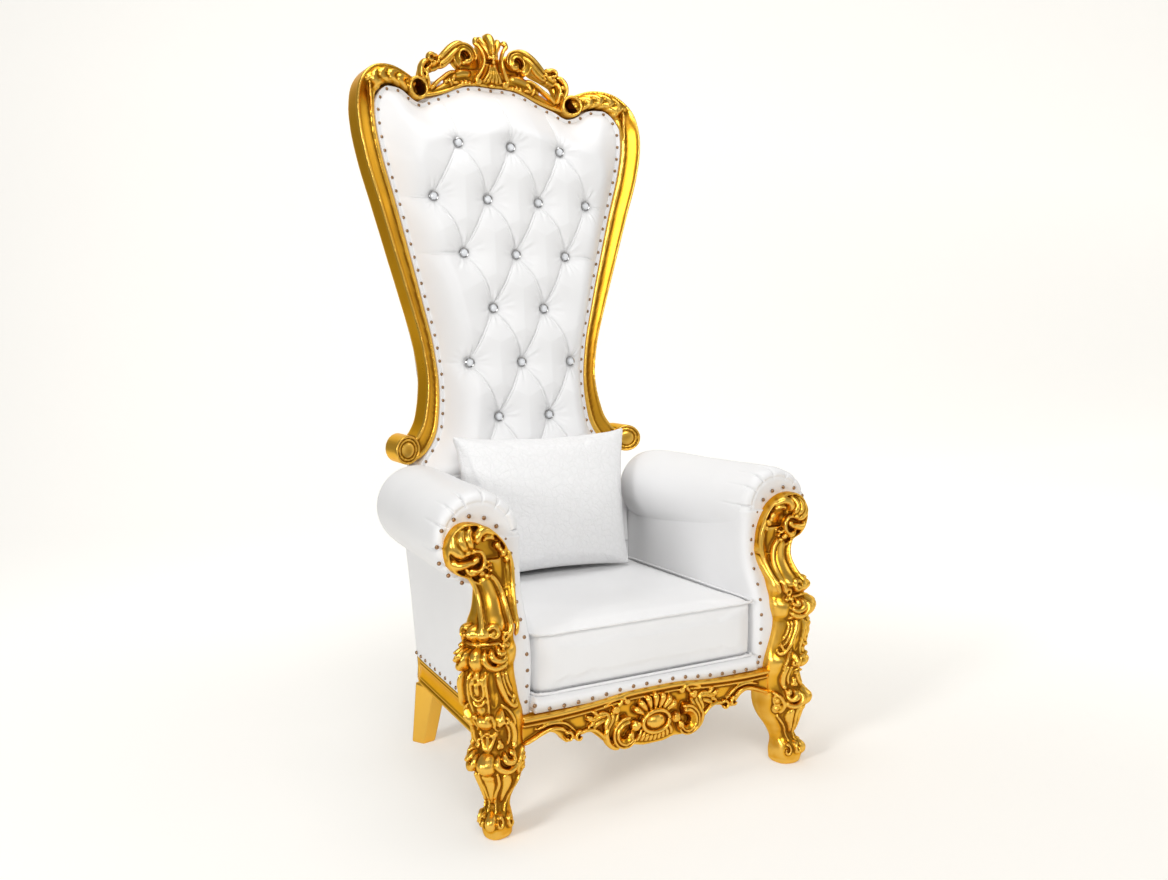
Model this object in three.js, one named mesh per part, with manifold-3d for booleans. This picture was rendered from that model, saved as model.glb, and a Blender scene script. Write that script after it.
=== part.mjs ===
// A tall-backed throne: a carved, gilded wooden frame with padded arms, a tufted
// back, a loose seat cushion and a loose pillow.
// Millimetres, +Z up. The front faces -Y and +X is on the right of a viewer in front.
// All shapes are drawn with Y = 0 on the line through the two front feet; the
// finished group is then shifted so that its origin is centred under the throne.
import * as THREE from 'three';
import { mergeVertices } from 'three/addons/utils/BufferGeometryUtils.js';
import Module from 'manifold-3d';

const wasm = await Module();
wasm.setup();

// ---- driving dimensions (mm) -------------------------------------------------

const gap = 0.4;              // clearance between pieces that touch

// seat
const railBottom = 165;
const railTop = 234;
const seatHalfWidth = 290;    // clear half width between the arms
const deckTop = 268;
const cushionTop = 404;
const sideFront = 386;        // half width over the side rails, at the front
const sideRear = 350;         // and at the rear corners
const rearCorner = 530;       // Y of the rear corners
const rearBulge = 92;         // how far the rear bows out behind the corners

// back
const backFoot = 700;         // Y of the back frame's face on the centre line, at its foot
const backRise = 118;         // how much further back the top is
const backFootZ = 720;
const backTopZ = 1620;
const wingCurve = 0.0006;     // how much the wings come forward: Y per X squared
const frameDepth = 78;
const buttonPitch = 148;      // across
const buttonStep = 141;       // between rows
const topButtonZ = 1503;
const buttonRows = 8;
const buttonRadius = 13;

// arms
const rollRadius = 98;
const rollX = 386;            // roll centre at the front
const rollXRear = 341;        // and at the rear
const rollZ = 601;
const armRear = 568;

// front posts: levels from the floor up.
// [z, inner x, outer x, front y, back y, fluting depth]
const postLevels = [
  [0, 350, 400, -22, 32, 0],
  [10, 346, 406, -26, 36, 0],
  [32, 343, 411, -30, 36, 0],
  [54, 345, 407, -26, 34, 0],
  [70, 343, 396, -12, 36, 0],
  [90, 334, 398, -16, 42, 0.02],
  [112, 320, 406, -24, 52, 0.03],
  [132, 313, 416, -30, 62, 0.05],
  [150, 311, 426, -38, 68, 0.09],
  [168, 310, 427, -36, 68, 0.09],
  [184, 311, 418, -28, 68, 0.02],
  [214, 312, 414, -24, 68, 0.02],
  [232, 313, 422, -28, 68, 0.03],
  [254, 317, 434, -30, 62, 0.05],
  [270, 321, 432, -18, 54, 0.02],
  [300, 328, 438, -21, 52, 0.05],
  [340, 335, 441, -24, 50, 0.05],
  [352, 335, 436, -20, 50, 0.02],
  [366, 332, 444, -28, 54, 0.09],
  [386, 330, 444, -26, 56, 0.09],
  [402, 331, 430, -12, 56, 0.02],
  [420, 331, 430, -14, 58, 0.06],
  [438, 331, 426, -8, 62, 0.05],
  [456, 328, 412, 8, 72, 0.02],
  [482, 321, 400, 28, 86, 0.03],
  [512, 317, 396, 38, 94, 0.03],
  [560, 326, 404, 36, 96, 0.03],
];
const cornerFullness = 0.1;   // how much fuller the section is towards the outer corner

// the volute that ends each post: its radius shrinks as it turns outwards and down
const voluteX = 402;
const voluteZ = 586;
const voluteStart = 84;       // radius on the inner side
const voluteEnd = 36;         // radius underneath
const voluteFront = 18;
const voluteBack = 96;

// ---- materials ---------------------------------------------------------------

const gilt = () => new THREE.MeshStandardMaterial({ color: 0xcf9a1f, roughness: 0.28, metalness: 0.9 });
const leather = () => new THREE.MeshStandardMaterial({ color: 0xefeff0, roughness: 0.5, metalness: 0 });
const fabric = () => new THREE.MeshStandardMaterial({ color: 0xf0f0ef, roughness: 0.7, metalness: 0 });
const crystal = () => new THREE.MeshStandardMaterial({ color: 0xc9ccd0, roughness: 0.12, metalness: 0.7 });

// ---- helpers -----------------------------------------------------------------

const clamp = THREE.MathUtils.clamp;
const lerp = THREE.MathUtils.lerp;

// a solid from corner places and triangles that already share their corners
function solidOf(places, triangles) {
  return new wasm.Manifold(new wasm.Mesh({
    numProp: 3,
    vertProperties: new Float32Array(places),
    triVerts: new Uint32Array(triangles),
  }));
}

// a closed geometry, welded and made a solid for joining and cutting
function toSolid(geometry) {
  geometry.deleteAttribute('normal');
  geometry.deleteAttribute('uv');
  const welded = mergeVertices(geometry, 1e-3);
  return solidOf(welded.attributes.position.array, welded.index.array);
}

function toGeometry(solid) {
  const mesh = solid.getMesh();
  const geometry = new THREE.BufferGeometry();
  geometry.setAttribute('position', new THREE.BufferAttribute(mesh.vertProperties, 3));
  geometry.setIndex(new THREE.BufferAttribute(mesh.triVerts, 1));
  return geometry;
}

function join(solids) {
  return solids.reduce((whole, next) => whole.add(next));
}

// a cut can leave crumbs beyond a neighbour: only the main body is kept
function mainBody(solid) {
  return solid.decompose().reduce((best, next) => (next.volume() > best.volume() ? next : best));
}

// moves every vertex of a geometry with a function of its position
function reshape(geometry, map) {
  const place = geometry.attributes.position;
  const point = new THREE.Vector3();
  for (let i = 0; i < place.count; i += 1) {
    point.fromBufferAttribute(place, i);
    map(point);
    place.setXYZ(i, point.x, point.y, point.z);
  }
  return geometry;
}

// A solid carried along a path: a cylinder whose wall point k of `sides`, at
// fraction t of its length, goes to at(k, t); each end is closed at its middle.
function lofted(sides, steps, at) {
  const geometry = new THREE.CylinderGeometry(1, 1, 1, sides, steps);
  const middle = (t) => {
    const sum = new THREE.Vector3();
    for (let k = 0; k < sides; k += 1) sum.add(at(k, t));
    return sum.divideScalar(sides);
  };
  const ends = [middle(0), middle(1)];
  reshape(geometry, (p) => {
    const t = Math.round((p.y + 0.5) * steps) / steps;
    if (Math.hypot(p.x, p.z) < 0.5) {
      p.copy(ends[t < 0.5 ? 0 : 1]);
      return;
    }
    const turn = Math.atan2(p.x, p.z) / (2 * Math.PI);
    const k = (Math.round(turn * sides) + sides) % sides;
    p.copy(at(k, t));
  });
  return outward(toSolid(geometry));
}

// the same solid with each triangle's corners in the other order
function turnedOver(geometry) {
  const index = geometry.index.array;
  for (let i = 0; i < index.length; i += 3) {
    const keep = index[i];
    index[i] = index[i + 1];
    index[i + 1] = keep;
  }
  return solidOf(geometry.attributes.position.array, index);
}

// a loft may run either way along its path: its faces are made to point out
function outward(solid) {
  return solid.volume() > 0 ? solid : turnedOver(toGeometry(solid));
}

// the mirror image of a solid in the plane X = 0, faces still outward
function mirrored(solid) {
  return turnedOver(reshape(toGeometry(solid), (p) => { p.x = -p.x; }));
}

// a value read off a table of [position, value...] rows, eased between rows
function readTable(table, position) {
  let i = 0;
  while (i < table.length - 2 && position > table[i + 1][0]) i += 1;
  const [low, high] = [table[i], table[i + 1]];
  const t = clamp((position - low[0]) / (high[0] - low[0]), 0, 1);
  return low.map((value, n) => lerp(value, high[n], t));
}

function smoothCurve(points) {
  return new THREE.CatmullRomCurve3(points.map(([x, z]) => new THREE.Vector3(x, 0, z)));
}

// a stretched ball, for carved lobes, leaves and beads
function lobe(x, y, z, rx, ry, rz, turn = 0, sides = 6, rings = 4) {
  const ball = new THREE.SphereGeometry(1, sides, rings);
  ball.scale(rx, ry, rz);
  ball.rotateY(turn);
  ball.translate(x, y, z);
  return toSolid(ball);
}

// a prism of an outline drawn in X and Z, from y = front to y = back
function prism(outline, front, back) {
  const shape = new THREE.Shape(outline.map(([x, z]) => new THREE.Vector2(x, z)));
  const geometry = new THREE.ExtrudeGeometry(shape, { depth: back - front, bevelEnabled: false });
  geometry.rotateX(Math.PI / 2);
  geometry.translate(0, back, 0);
  return toSolid(geometry);
}

// a slab of an outline drawn in X and Y, from z = low to z = high
function slab(outline, low, high) {
  const shape = new THREE.Shape(outline.map(([x, y]) => new THREE.Vector2(x, y)));
  const geometry = new THREE.ExtrudeGeometry(shape, { depth: high - low, bevelEnabled: false });
  geometry.translate(0, 0, low);
  return toSolid(geometry);
}

// ---- the shape of the body in plan and of the back ----------------------------

// half width over the side rails at a given Y
const sideAt = (y) => lerp(sideFront, sideRear, clamp(y / rearCorner, 0, 1));

// the rear of the body bows out between the corners
const rearAt = (x) => rearCorner + rearBulge * (1 - (x / sideRear) ** 2);

// the face of the back frame
function backFace(x, z) {
  const t = clamp((z - backFootZ) / (backTopZ - backFootZ), 0, 1);
  const below = Math.min(z - backFootZ, 0) * 0.13;
  return backFoot + backRise * t ** 1.15 + below - wingCurve * x * x;
}

// ---- front posts ---------------------------------------------------------------

// One carved piece from the foot to the volute on the arm. Its ornament is turned to
// the outer front corner, so the section is fuller there.
function postSection(z, turn, grow) {
  const [, inner, outer, front, back, flutes] = readTable(postLevels, z);
  const [cx, cy] = [(inner + outer) / 2, (front + back) / 2];
  const [rx, ry] = [(outer - inner) / 2 + grow, (back - front) / 2 + grow];
  const [c, s] = [Math.cos(turn), Math.sin(turn)];
  const square = (Math.abs(c) ** 2.6 + Math.abs(s) ** 2.6) ** (-1 / 2.6);
  const carved = s < 0.35 ? 1 : 0;
  const ripple = 1 - flutes * carved * (0.5 + 0.5 * Math.cos(turn * 8));
  const corner = 1 - cornerFullness * Math.sin(2 * turn) * clamp((260 - z) / 100, 0, 1);
  const reach = square * ripple * corner;
  return new THREE.Vector3(cx + rx * c * reach, cy + ry * s * reach, z);
}

function voluteRadius(turn) {
  // turn runs from 0 at the inner side, over the top, to 1.5 half turns underneath,
  // and from there the outline widens again into the neck
  const under = 1.5 * Math.PI;
  if (turn < under) return lerp(voluteStart, voluteEnd, (turn / under) ** 0.85);
  return lerp(voluteEnd, voluteStart, (turn - under) / (0.5 * Math.PI));
}

function frontPost(grow = 0) {
  const sides = 12;
  const steps = postLevels.length - 1;
  const body = lofted(sides, steps, (k, t) => {
    const z = postLevels[Math.round(t * steps)][0];
    return postSection(z, (2 * Math.PI * (k + 0.5)) / sides, grow);
  });
  // volute: a snail of lobes round its eye, with a raised rim and a button eye
  const lobes = 9;
  const rim = lobes * 2;
  const profile = [
    [1.0, voluteBack + grow], [1.0, voluteFront + 14 - grow], [0.9, voluteFront - grow],
    [0.62, voluteFront + 6 - grow], [0.42, voluteFront + 14 - grow],
    [0.30, voluteFront + 2 - grow], [0.16, voluteFront - 8 - grow],
  ];
  const rings = profile.length - 1;
  const snail = lofted(rim, rings, (k, t) => {
    const [scale, y] = profile[rings - Math.round(t * rings)];
    const angle = (2 * Math.PI * k) / rim;
    const carve = k % 2 === 0 || scale < 0.4 ? 1 : 0.93;
    const radius = (voluteRadius(angle) + grow) * scale * carve;
    return new THREE.Vector3(
      voluteX - radius * Math.cos(angle),
      y,
      voluteZ + radius * Math.sin(angle),
    );
  });
  return body.add(snail);
}

// ---- front apron ---------------------------------------------------------------

const apronHalf = 318;
const apronTop = [[0, 247], [70, 246], [136, 239], [233, 234], [apronHalf, 234]];
const apronBottom = [
  [0, 118], [30, 119], [52, 124], [85, 123], [112, 133], [138, 156], [160, 172],
  [180, 170], [200, 165], [220, 161], [232, 175], [254, 190], [282, 184], [apronHalf, 172],
];

function frontApron() {
  const right = [...apronBottom, ...[...apronTop].reverse()];
  const left = [...right].reverse().map(([x, z]) => [-x, z]);
  const outline = [...right, ...left.slice(1, -1)];
  const parts = [prism(outline, 0, 26)];
  // a bead along the top
  const [beadDrop, beadRadius] = [10, 8];
  parts.push(lofted(4, 10, (k, t) => {
    const x = lerp(-apronHalf, apronHalf, t);
    const turn = (2 * Math.PI * k) / 4;
    const z = readTable(apronTop, Math.abs(x))[1] - beadDrop;
    return new THREE.Vector3(x, -1 - beadRadius * Math.cos(turn), z + beadRadius * Math.sin(turn));
  }));
  // oval boss with a ring, five leaves fanned above it and a fringe of gadroons below
  parts.push(lobe(0, -4, 170, 32, 16, 25, 0, 8, 4));
  parts.push(lobe(0, -12, 170, 22, 14, 17, 0, 8, 4));
  for (let i = -2; i <= 2; i += 1) {
    const lean = i * 0.42;
    parts.push(lobe(44 * Math.sin(lean), -2, 178 + 40 * Math.cos(lean), 9, 13, 24, lean));
  }
  for (let i = -2; i <= 2; i += 1) {
    const lean = i * 0.4;
    parts.push(lobe(46 * Math.sin(lean), -2, 170 - 38 * Math.cos(lean), 10, 12, 15, -lean));
  }
  for (const side of [-1, 1]) {
    // C-scroll with an open eye
    parts.push(scroll({
      x: side * 64, y: -4, z: 158, radius: 36, thick: 17, side, rise: -1, turns: 1.7, start: -0.6,
    }));
    // leaf that runs out from the scroll, and the small scrolls on the lower edge
    parts.push(lobe(side * 122, 0, 178, 34, 10, 12, side * 0.45));
    parts.push(lobe(side * 178, 0, 186, 26, 9, 9, side * -0.35));
    parts.push(lobe(side * 196, -2, 174, 13, 12, 9, side * 0.5));
    parts.push(lobe(side * 222, -2, 172, 13, 12, 11, 0));
  }
  return join(parts);
}

// A C-scroll: a tapering roll wound round an open eye in an upright plane. It starts
// `start` past the outer side, turns over the top (or under, if rise is -1) towards the
// middle, and `turns` counts its half turns. side is -1 on the left.
function scroll({ x, y, z, radius, thick, side, rise, turns, start }) {
  const sides = 5;
  return lofted(sides, 9, (k, t) => {
    const angle = start + Math.PI * turns * t;
    const reach = radius * (1 - 0.45 * t) - thick * 0.5;
    const size = thick * (1 - 0.4 * t) * 0.62;
    const turn = (2 * Math.PI * k) / sides;
    const out = reach + size * Math.cos(turn);
    return new THREE.Vector3(
      x + side * out * Math.cos(angle),
      y + size * 1.3 * Math.sin(turn),
      z + rise * out * Math.sin(angle),
    );
  });
}

// ---- back frame ----------------------------------------------------------------

// centre line of a stile and its shoulder, in X and Z, with the width of the face
const stileLine = [
  [318, 712], [282, 728], [252, 768], [238, 822], [232, 885], [240, 970], [271, 1100],
  [304, 1222], [338, 1345], [371, 1462], [383, 1530], [384, 1582], [371, 1632],
  [340, 1664], [300, 1673], [262, 1664], [234, 1650],
];
const stileWidth = [
  [0, 52], [0.06, 50], [0.12, 42], [0.2, 34], [0.3, 35], [0.45, 43], [0.7, 52],
  [0.84, 53], [0.93, 48], [1, 44],
];
const roundelX = 323;
const roundelZ = 722;
const roundelRadius = 37;
const curlX = 226;
const curlZ = 1647;
const curlRadius = 30;

// section of the stile: [across from inner to outer edge, depth behind the face]
const stileSection = [
  [-0.5, 6], [-0.4, 0], [0, 10], [0.42, -3], [0.5, 4], [0.5, frameDepth], [-0.5, frameDepth],
];

function ribs(t) {
  // five rounded ribs run across the shoulder, towards the curl
  if (t < 0.86) return 0;
  return Math.abs(Math.sin(((t - 0.86) / 0.14) * Math.PI * 2.5));
}

function backStile(grow = 0) {
  const line = smoothCurve(stileLine);
  const sides = stileSection.length;
  const steps = 28;
  // more steps over the shoulder than along the straight
  const along = (t) => (t < 0.55 ? (t / 0.55) * 0.72 : 0.72 + ((t - 0.55) / 0.45) * 0.28);
  const body = lofted(sides, steps, (k, t) => {
    const s = along(t);
    const centre = line.getPointAt(s);
    const tangent = line.getTangentAt(s);
    const width = readTable(stileWidth, s)[1];
    const rib = ribs(s);
    const [across, depth] = stileSection[sides - 1 - k];
    const a = across * (width * (1 + 0.06 * rib) + 2 * grow);
    const flat = depth > 20 ? 1 : 0;
    const lift = flat ? grow : -grow - 9 * rib - (rib > 0 ? 3 : 0);
    const x = centre.x + a * tangent.z;
    const z = centre.z - a * tangent.x;
    const shallow = s > 0.86 && !flat ? depth * 0.3 : depth;
    return new THREE.Vector3(x, backFace(x, z) + shallow + lift, z);
  });
  const turned = (radius, profile, x, z) => {
    const points = profile.map(([r, h]) => new THREE.Vector2(r * radius + (r > 0 ? grow : 0), h));
    const disc = new THREE.LatheGeometry(points, 12);
    disc.translate(x, 0, 0);
    reshape(disc, (p) => {
      const h = p.y;
      const up = p.z;
      p.y = backFace(p.x, z) - h;
      p.z = z + up;
    });
    return outward(toSolid(disc));
  };
  const face = [
    [0, -frameDepth - grow], [1, -frameDepth - grow], [1, 4], [0.88, 10 + grow],
    [0.74, 4 + grow], [0.56, 9 + grow], [0, 9 + grow],
  ];
  const hole = [
    [0, -60 - grow], [1, -60 - grow], [1, 12], [0.8, 20 + grow], [0.5, 16 + grow], [0.3, 2], [0, 0],
  ];
  const solidFace = [[0, -60 - grow], [1, -60 - grow], [1, 20 + grow], [0, 20 + grow]];
  const roundel = turned(roundelRadius, face, roundelX, roundelZ);
  const curl = turned(curlRadius, grow ? solidFace : hole, curlX, curlZ);
  return body.add(roundel).add(curl);
}


// ---- crest ---------------------------------------------------------------------

// lower edge of the crest rail, which arches over the padded back
const crestEdge = [[0, 1681], [45, 1681], [78, 1677], [108, 1664], [140, 1649], [170, 1638], [198, 1630]];
const railHeight = [[0, 52], [60, 48], [110, 34], [198, 23]];
const crestScrollX = 67;
const crestScrollZ = 1757;
const crestTop = 1830;
// the acanthus arm that runs out from each scroll and curls down to the rail
const crestArm = [[84, 1778], [112, 1768], [142, 1746], [170, 1728], [190, 1706], [199, 1680], [193, 1648]];

function crestLoft(sides, steps, line, height, thick) {
  return lofted(sides, steps, (k, t) => {
    const [x, z, nx, nz] = line(t);
    const turn = (2 * Math.PI * k) / sides;
    const h = height(t) / 2;
    const px = x + nx * h * Math.cos(turn);
    const pz = z + nz * h * Math.cos(turn);
    return new THREE.Vector3(px, backFace(px, pz) + 16 - thick * Math.sin(turn), pz);
  });
}

function backCrest() {
  const parts = [];
  const reach = crestEdge[crestEdge.length - 1][0];
  parts.push(crestLoft(6, 14, (t) => {
    const x = lerp(-reach, reach, t);
    const height = readTable(railHeight, Math.abs(x))[1];
    return [x, readTable(crestEdge, Math.abs(x))[1] + height / 2, 0, 1];
  }, (t) => readTable(railHeight, Math.abs(lerp(-reach, reach, t)))[1], 26));
  // palmette: a tall middle lobe and two on each side, over a fluted bell
  for (let i = -2; i <= 2; i += 1) {
    const lean = i * 0.42 + 0.03;
    const [wide, deep] = i === 0 ? [12.3, 19] : [11, 17];
    const forward = 3 * (2 - Math.abs(i));
    const long = i === 0 ? 47 : 39 - 5 * Math.abs(i);
    const [x, z] = [long * 0.95 * Math.sin(lean), crestTop - 92 + long * Math.cos(lean) + 1];
    parts.push(lobe(x, backFace(x, z) + 4 - forward, z, wide, deep, long, lean));
  }
  parts.push(lofted(8, 2, (k, t) => {
    const turn = (2 * Math.PI * k) / 8;
    const flare = (k % 2 ? 0.9 : 1) * lerp(44, 15, Math.sqrt(t));
    const z = lerp(1684, 1752, t);
    return new THREE.Vector3(-flare * Math.cos(turn), backFace(0, z) + 4 + flare * 0.5 * Math.sin(turn), z);
  }));
  const line = smoothCurve(crestArm);
  const armRight = crestLoft(5, 8, (t) => {
    const [centre, tangent] = [line.getPointAt(t), line.getTangentAt(t)];
    return [centre.x, centre.z, -tangent.z, tangent.x];
  }, (t) => lerp(34, 24, t), 18);
  parts.push(armRight, mirrored(armRight));
  for (const side of [-1, 1]) {
    const [x, z] = [crestScrollX, crestScrollZ];
    parts.push(scroll({
      x: side * x, y: backFace(x, z) + 8, z, radius: 38, thick: 20, side, rise: 1, turns: 1.75, start: 0.2,
    }));
    parts.push(lobe(side * 176, backFace(176, 1734), 1736, 17, 14, 14));
    parts.push(lobe(side * 112, backFace(112, 1690) - 2, 1694, 8, 10, 18, side * 0.5));
  }
  return join(parts);
}

// ---- padded back -----------------------------------------------------------------

// the tufted face: buttons pull it in on a diamond grid, and it is fuller between
function padFace(x, z) {
  const plain = 632 + 0.104 * (z - 800) + 0.00012 * x * x;
  const across = (x / buttonPitch) * 2 * Math.PI;
  const down = ((z - topButtonZ) / buttonStep) * Math.PI;
  const pulled = Math.cos(across) * Math.cos(down);
  return plain - 12 + 14 * pulled;
}

// the rear of the pad: the frame's own rear above, sloping in to the seat below
function padRear(x, z) {
  if (z > backFootZ) return backFace(x, z) + frameDepth;
  return lerp(rearAt(x) + 8, backFace(x, backFootZ) + frameDepth, (z - railTop) / (backFootZ - railTop));
}

function stileEdge(across, from, to, count) {
  const line = smoothCurve(stileLine);
  const points = [];
  for (let i = 0; i <= count; i += 1) {
    const s = lerp(from, to, i / count);
    const [centre, tangent] = [line.getPointAt(s), line.getTangentAt(s)];
    const a = across(readTable(stileWidth, s)[1], s);
    points.push([centre.x + a * tangent.z, centre.z - a * tangent.x]);
  }
  return points;
}

// half outline of the padded back, from the foot up the inner edge of the frame to the
// middle of the crest, `clear` inside the carved pieces
function padOutline(clear) {
  const foot = cushionTop + 18;
  const side = stileEdge((width, s) => -width / 2 - clear - (s > 0.84 ? 3 : 0), 0.05, 0.955, 11);
  const under = [];
  for (let i = 0; i <= 3; i += 1) {
    const turn = lerp(-0.3, -2.35, i / 3);
    const reach = curlRadius + clear + 1;
    under.push([curlX + reach * Math.cos(turn), curlZ + reach * Math.sin(turn)]);
  }
  const rail = crestEdge.map(([x, z]) => [x, z - clear - 2]).reverse().slice(1);
  return [[0, foot], [seatHalfWidth - 1, foot], [seatHalfWidth - 1, 672], ...side, ...under, ...rail];
}

function bothSides(half) {
  const other = [...half].reverse().map(([x, z]) => [-x, z]);
  return [...half, ...other].filter(([x, z], i, all) => {
    const [px, pz] = all[(i + all.length - 1) % all.length];
    return Math.hypot(x - px, z - pz) > 0.5;
  });
}

function backPanel() {
  const columns = 10;
  const rearColumns = 4;
  const sides = columns + rearColumns + 2;
  const rows = 18;
  const half = (columns / 4) * buttonPitch;
  const top = topButtonZ + buttonStep * 1.5;
  const block = lofted(sides, rows, (k, t) => {
    const z = top - (1 - t) * rows * buttonStep * 0.5;
    if (k > columns) {
      const x = lerp(half, -half, (k - columns - 1) / rearColumns);
      return new THREE.Vector3(x, padRear(x, z) - gap, z);
    }
    const x = lerp(-half, half, k / columns);
    const edge = clamp((Math.abs(x) - 200) / 170, 0, 1) ** 2;
    return new THREE.Vector3(x, lerp(padFace(x, z), backFace(x, z) - 6, z > 760 ? edge : 0), z);
  });
  return block.intersect(prism(bothSides(padOutline(gap)), 400, 1100));
}

// the outer back: a padded plate over the rear of the frame
const coverWidth = [
  [236, 318], [690, 292], [760, 262], [822, 250], [885, 242], [970, 250],
  [1100, 281], [1345, 348], [1462, 381], [1540, 395], [1590, 392], [1640, 368],
  [1672, 325], [1690, 250], [1700, 120],
];
const coverThick = 12;
const coverGap = 10;          // room for the webbing that the cover is fixed to

function backCover() {
  const rows = coverWidth.length - 1;
  const plate = new THREE.BoxGeometry(2, 2, 2, 5, 1, rows);
  return toSolid(reshape(plate, (p) => {
    const [z, half] = coverWidth[Math.round(((p.z + 1) / 2) * rows)];
    const [across, rear] = [p.x, p.y > 0];
    const x = across * half;
    const y = padRear(x, z) + coverGap;
    p.set(x, rear ? y + coverThick + 4 * (1 - across * across) : y, z);
  }));
}

// ---- arms and seat ----------------------------------------------------------------

// the front of an arm follows the post in profile
const armFront = [[236, 15], [392, 15], [440, 34], [480, 58], [520, 66], [600, 62], [720, 66]];

function arm() {
  const low = railTop + gap;
  const high = rollZ;
  const wall = lofted(12, 5, (k, t) => {
    const z = [low, 392, 440, 480, 520, high][Math.round(t * 5)];
    const y = readTable(armFront, z)[1];
    const side = (at) => sideAt(at) - 2;
    const lean = 22 * clamp((z - 400) / 300, 0, 1);
    const ring = [
      [seatHalfWidth + 1, y + 14], [seatHalfWidth + 14, y], [side(y) - 16, y],
      [side(y), y + 16], [side(150), 150], [side(320), 320], [side(460), 460],
      [sideRear - 9, 505 + lean], [sideRear - 27, 542 + lean], [sideRear - 52, 566 + lean],
      [seatHalfWidth + 1, 572 + lean], [seatHalfWidth + 1, 300],
    ];
    return new THREE.Vector3(...ring[k], z);
  });
  const front = 62;
  const ends = [[0.86, front], [0.97, 70], [1, 90], [1.03, 505], [0.94, 548], [0.74, armRear]];
  const roll = lofted(12, ends.length - 1, (k, t) => {
    const [scale, y] = ends[Math.round(t * (ends.length - 1))];
    const along = (y - front) / (armRear - front);
    const turn = (2 * Math.PI * k) / 12;
    const radius = rollRadius * scale;
    const x = lerp(rollX, rollXRear, along) - radius * Math.cos(turn);
    return new THREE.Vector3(x, y, rollZ + radius * Math.sin(turn));
  });
  return wall.add(roll);
}

function seatDeck() {
  const half = seatHalfWidth - gap;
  const outline = [[-half, 2], [half, 2], [half, 520]];
  for (let i = 0; i <= 8; i += 1) {
    const x = lerp(half, -half, i / 8);
    outline.push([x, rearAt(x) - 4]);
  }
  outline.push([-half, 520]);
  const body = slab(outline, railTop + gap, deckTop);
  const under = bothSides([...apronTop].map(([x, z]) => [x, z + gap]).concat([[apronHalf, 200], [0, 200]]));
  return body.subtract(prism(under, -60, 26 + gap));
}

// a box with rounded edges whose faces swell by `crown`
function cushionShape(size, crown, columns, rows, layers, place) {
  const [wide, deep, high] = size;
  const block = new THREE.BoxGeometry(2, 2, 2, columns, rows, layers);
  return toSolid(reshape(block, (p) => {
    const [u, v, w] = [p.x, p.y, p.z];
    const swell = (1 - u * u) * (1 - v * v);
    const round = 1 - 0.035 * (u * u * v * v) - 0.02 * w * w;
    const x = (u * wide * round) / 2;
    const y = (v * deep * round) / 2;
    const z = (w * high) / 2 + w * crown * swell;
    p.copy(place(new THREE.Vector3(x, y, z)));
  }));
}

function seatCushion() {
  const [front, rear] = [10, 588];
  const [low, high] = [deckTop + gap, cushionTop];
  const middle = new THREE.Vector3(0, (front + rear) / 2, (low + high) / 2);
  return cushionShape([seatHalfWidth * 2 - 6, rear - front, high - low], 12, 5, 5, 2, (p) => {
    p.add(middle);
    p.z = Math.max(p.z, low);
    return p;
  });
}

const pillowWide = 476;
const pillowHigh = 340;
const pillowThick = 118;
const pillowLean = 0.27;

function pillow() {
  const block = new THREE.BoxGeometry(2, 2, 2, 6, 1, 4);
  reshape(block, (p) => {
    const [u, w] = [p.x, p.z];
    const puff = ((1 - u * u * 0.96) * (1 - w * w * 0.96)) ** 0.5;
    const waist = 1 - 0.05 * (1 - Math.abs(u * w));
    const x = (u * waist * pillowWide) / 2;
    const z = (w * waist * pillowHigh) / 2;
    const y = (p.y * puff * pillowThick) / 2;
    const [c, s] = [Math.cos(pillowLean), Math.sin(pillowLean)];
    p.set(x + 4, 498 + y * c + z * s, 592 + z * c - y * s);
  });
  return toSolid(block);
}

// ---- rails and rear legs --------------------------------------------------------------

// section of a rail: [out from its back, up from its bottom], with a bead at each edge
const railSection = [
  [0, 0], [24, 0], [28, 5], [24, 11], [20, 34], [24, 57], [28, 63], [24, 69], [0, 69],
];

function sideRail() {
  const sides = railSection.length;
  const plan = [[0, 30], [0.5, 280], [0.86, 470], [0.94, 508], [1, 528]];
  return lofted(sides, plan.length - 1, (k, t) => {
    const [, y] = plan[Math.round(t * (plan.length - 1))];
    const [out, up] = railSection[sides - 1 - k];
    const bend = y > 470 ? ((y - 470) / 60) ** 2 * 22 : 0;
    return new THREE.Vector3(sideAt(y) - 28 + out - bend, y, railBottom + up);
  });
}

function rearRail() {
  const half = sideRear - 27;
  return lofted(4, 10, (k, t) => {
    const x = lerp(-half, half, t);
    const inner = k === 0 || k === 3;
    const up = k === 0 || k === 1 ? 69 : 0;
    const y = rearAt(x) - (Math.abs(x) > half - 1 ? -6 : 0);
    return new THREE.Vector3(x, inner ? y - 30 : y, railBottom + up);
  });
}

// [z, inner x, outer x, front y, rear y]
const rearLegLevels = [
  [0, 307, 349, 524, 562], [60, 306, 350, 506, 556], [120, 305, 352, 484, 546],
  [railBottom - gap, 304, 353, 458, 534],
];

function rearLeg() {
  return lofted(8, 3, (k, t) => {
    const [z, inner, outer, front, rear] = rearLegLevels[Math.round(t * 3)];
    const cut = 4;
    const ring = [
      [inner + cut, front], [outer - cut, front], [outer, front + cut], [outer, rear - cut],
      [outer - cut, rear], [inner + cut, rear], [inner, rear - cut], [inner, front + cut],
    ];
    return new THREE.Vector3(...ring[k], z);
  });
}

// ---- buttons ------------------------------------------------------------------------

function button(x, z) {
  const disc = new THREE.CylinderGeometry(buttonRadius, buttonRadius * 0.6, 6, 6, 1);
  disc.translate(x, padFace(x, z) - 9.5, z);
  return toSolid(disc);
}

// ---- the throne -----------------------------------------------------------------------

const throne = new THREE.Group();

function addPiece(name, solid, material) {
  const mesh = new THREE.Mesh(toGeometry(solid), material);
  mesh.name = name;
  throne.add(mesh);
  return mesh;
}

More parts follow.
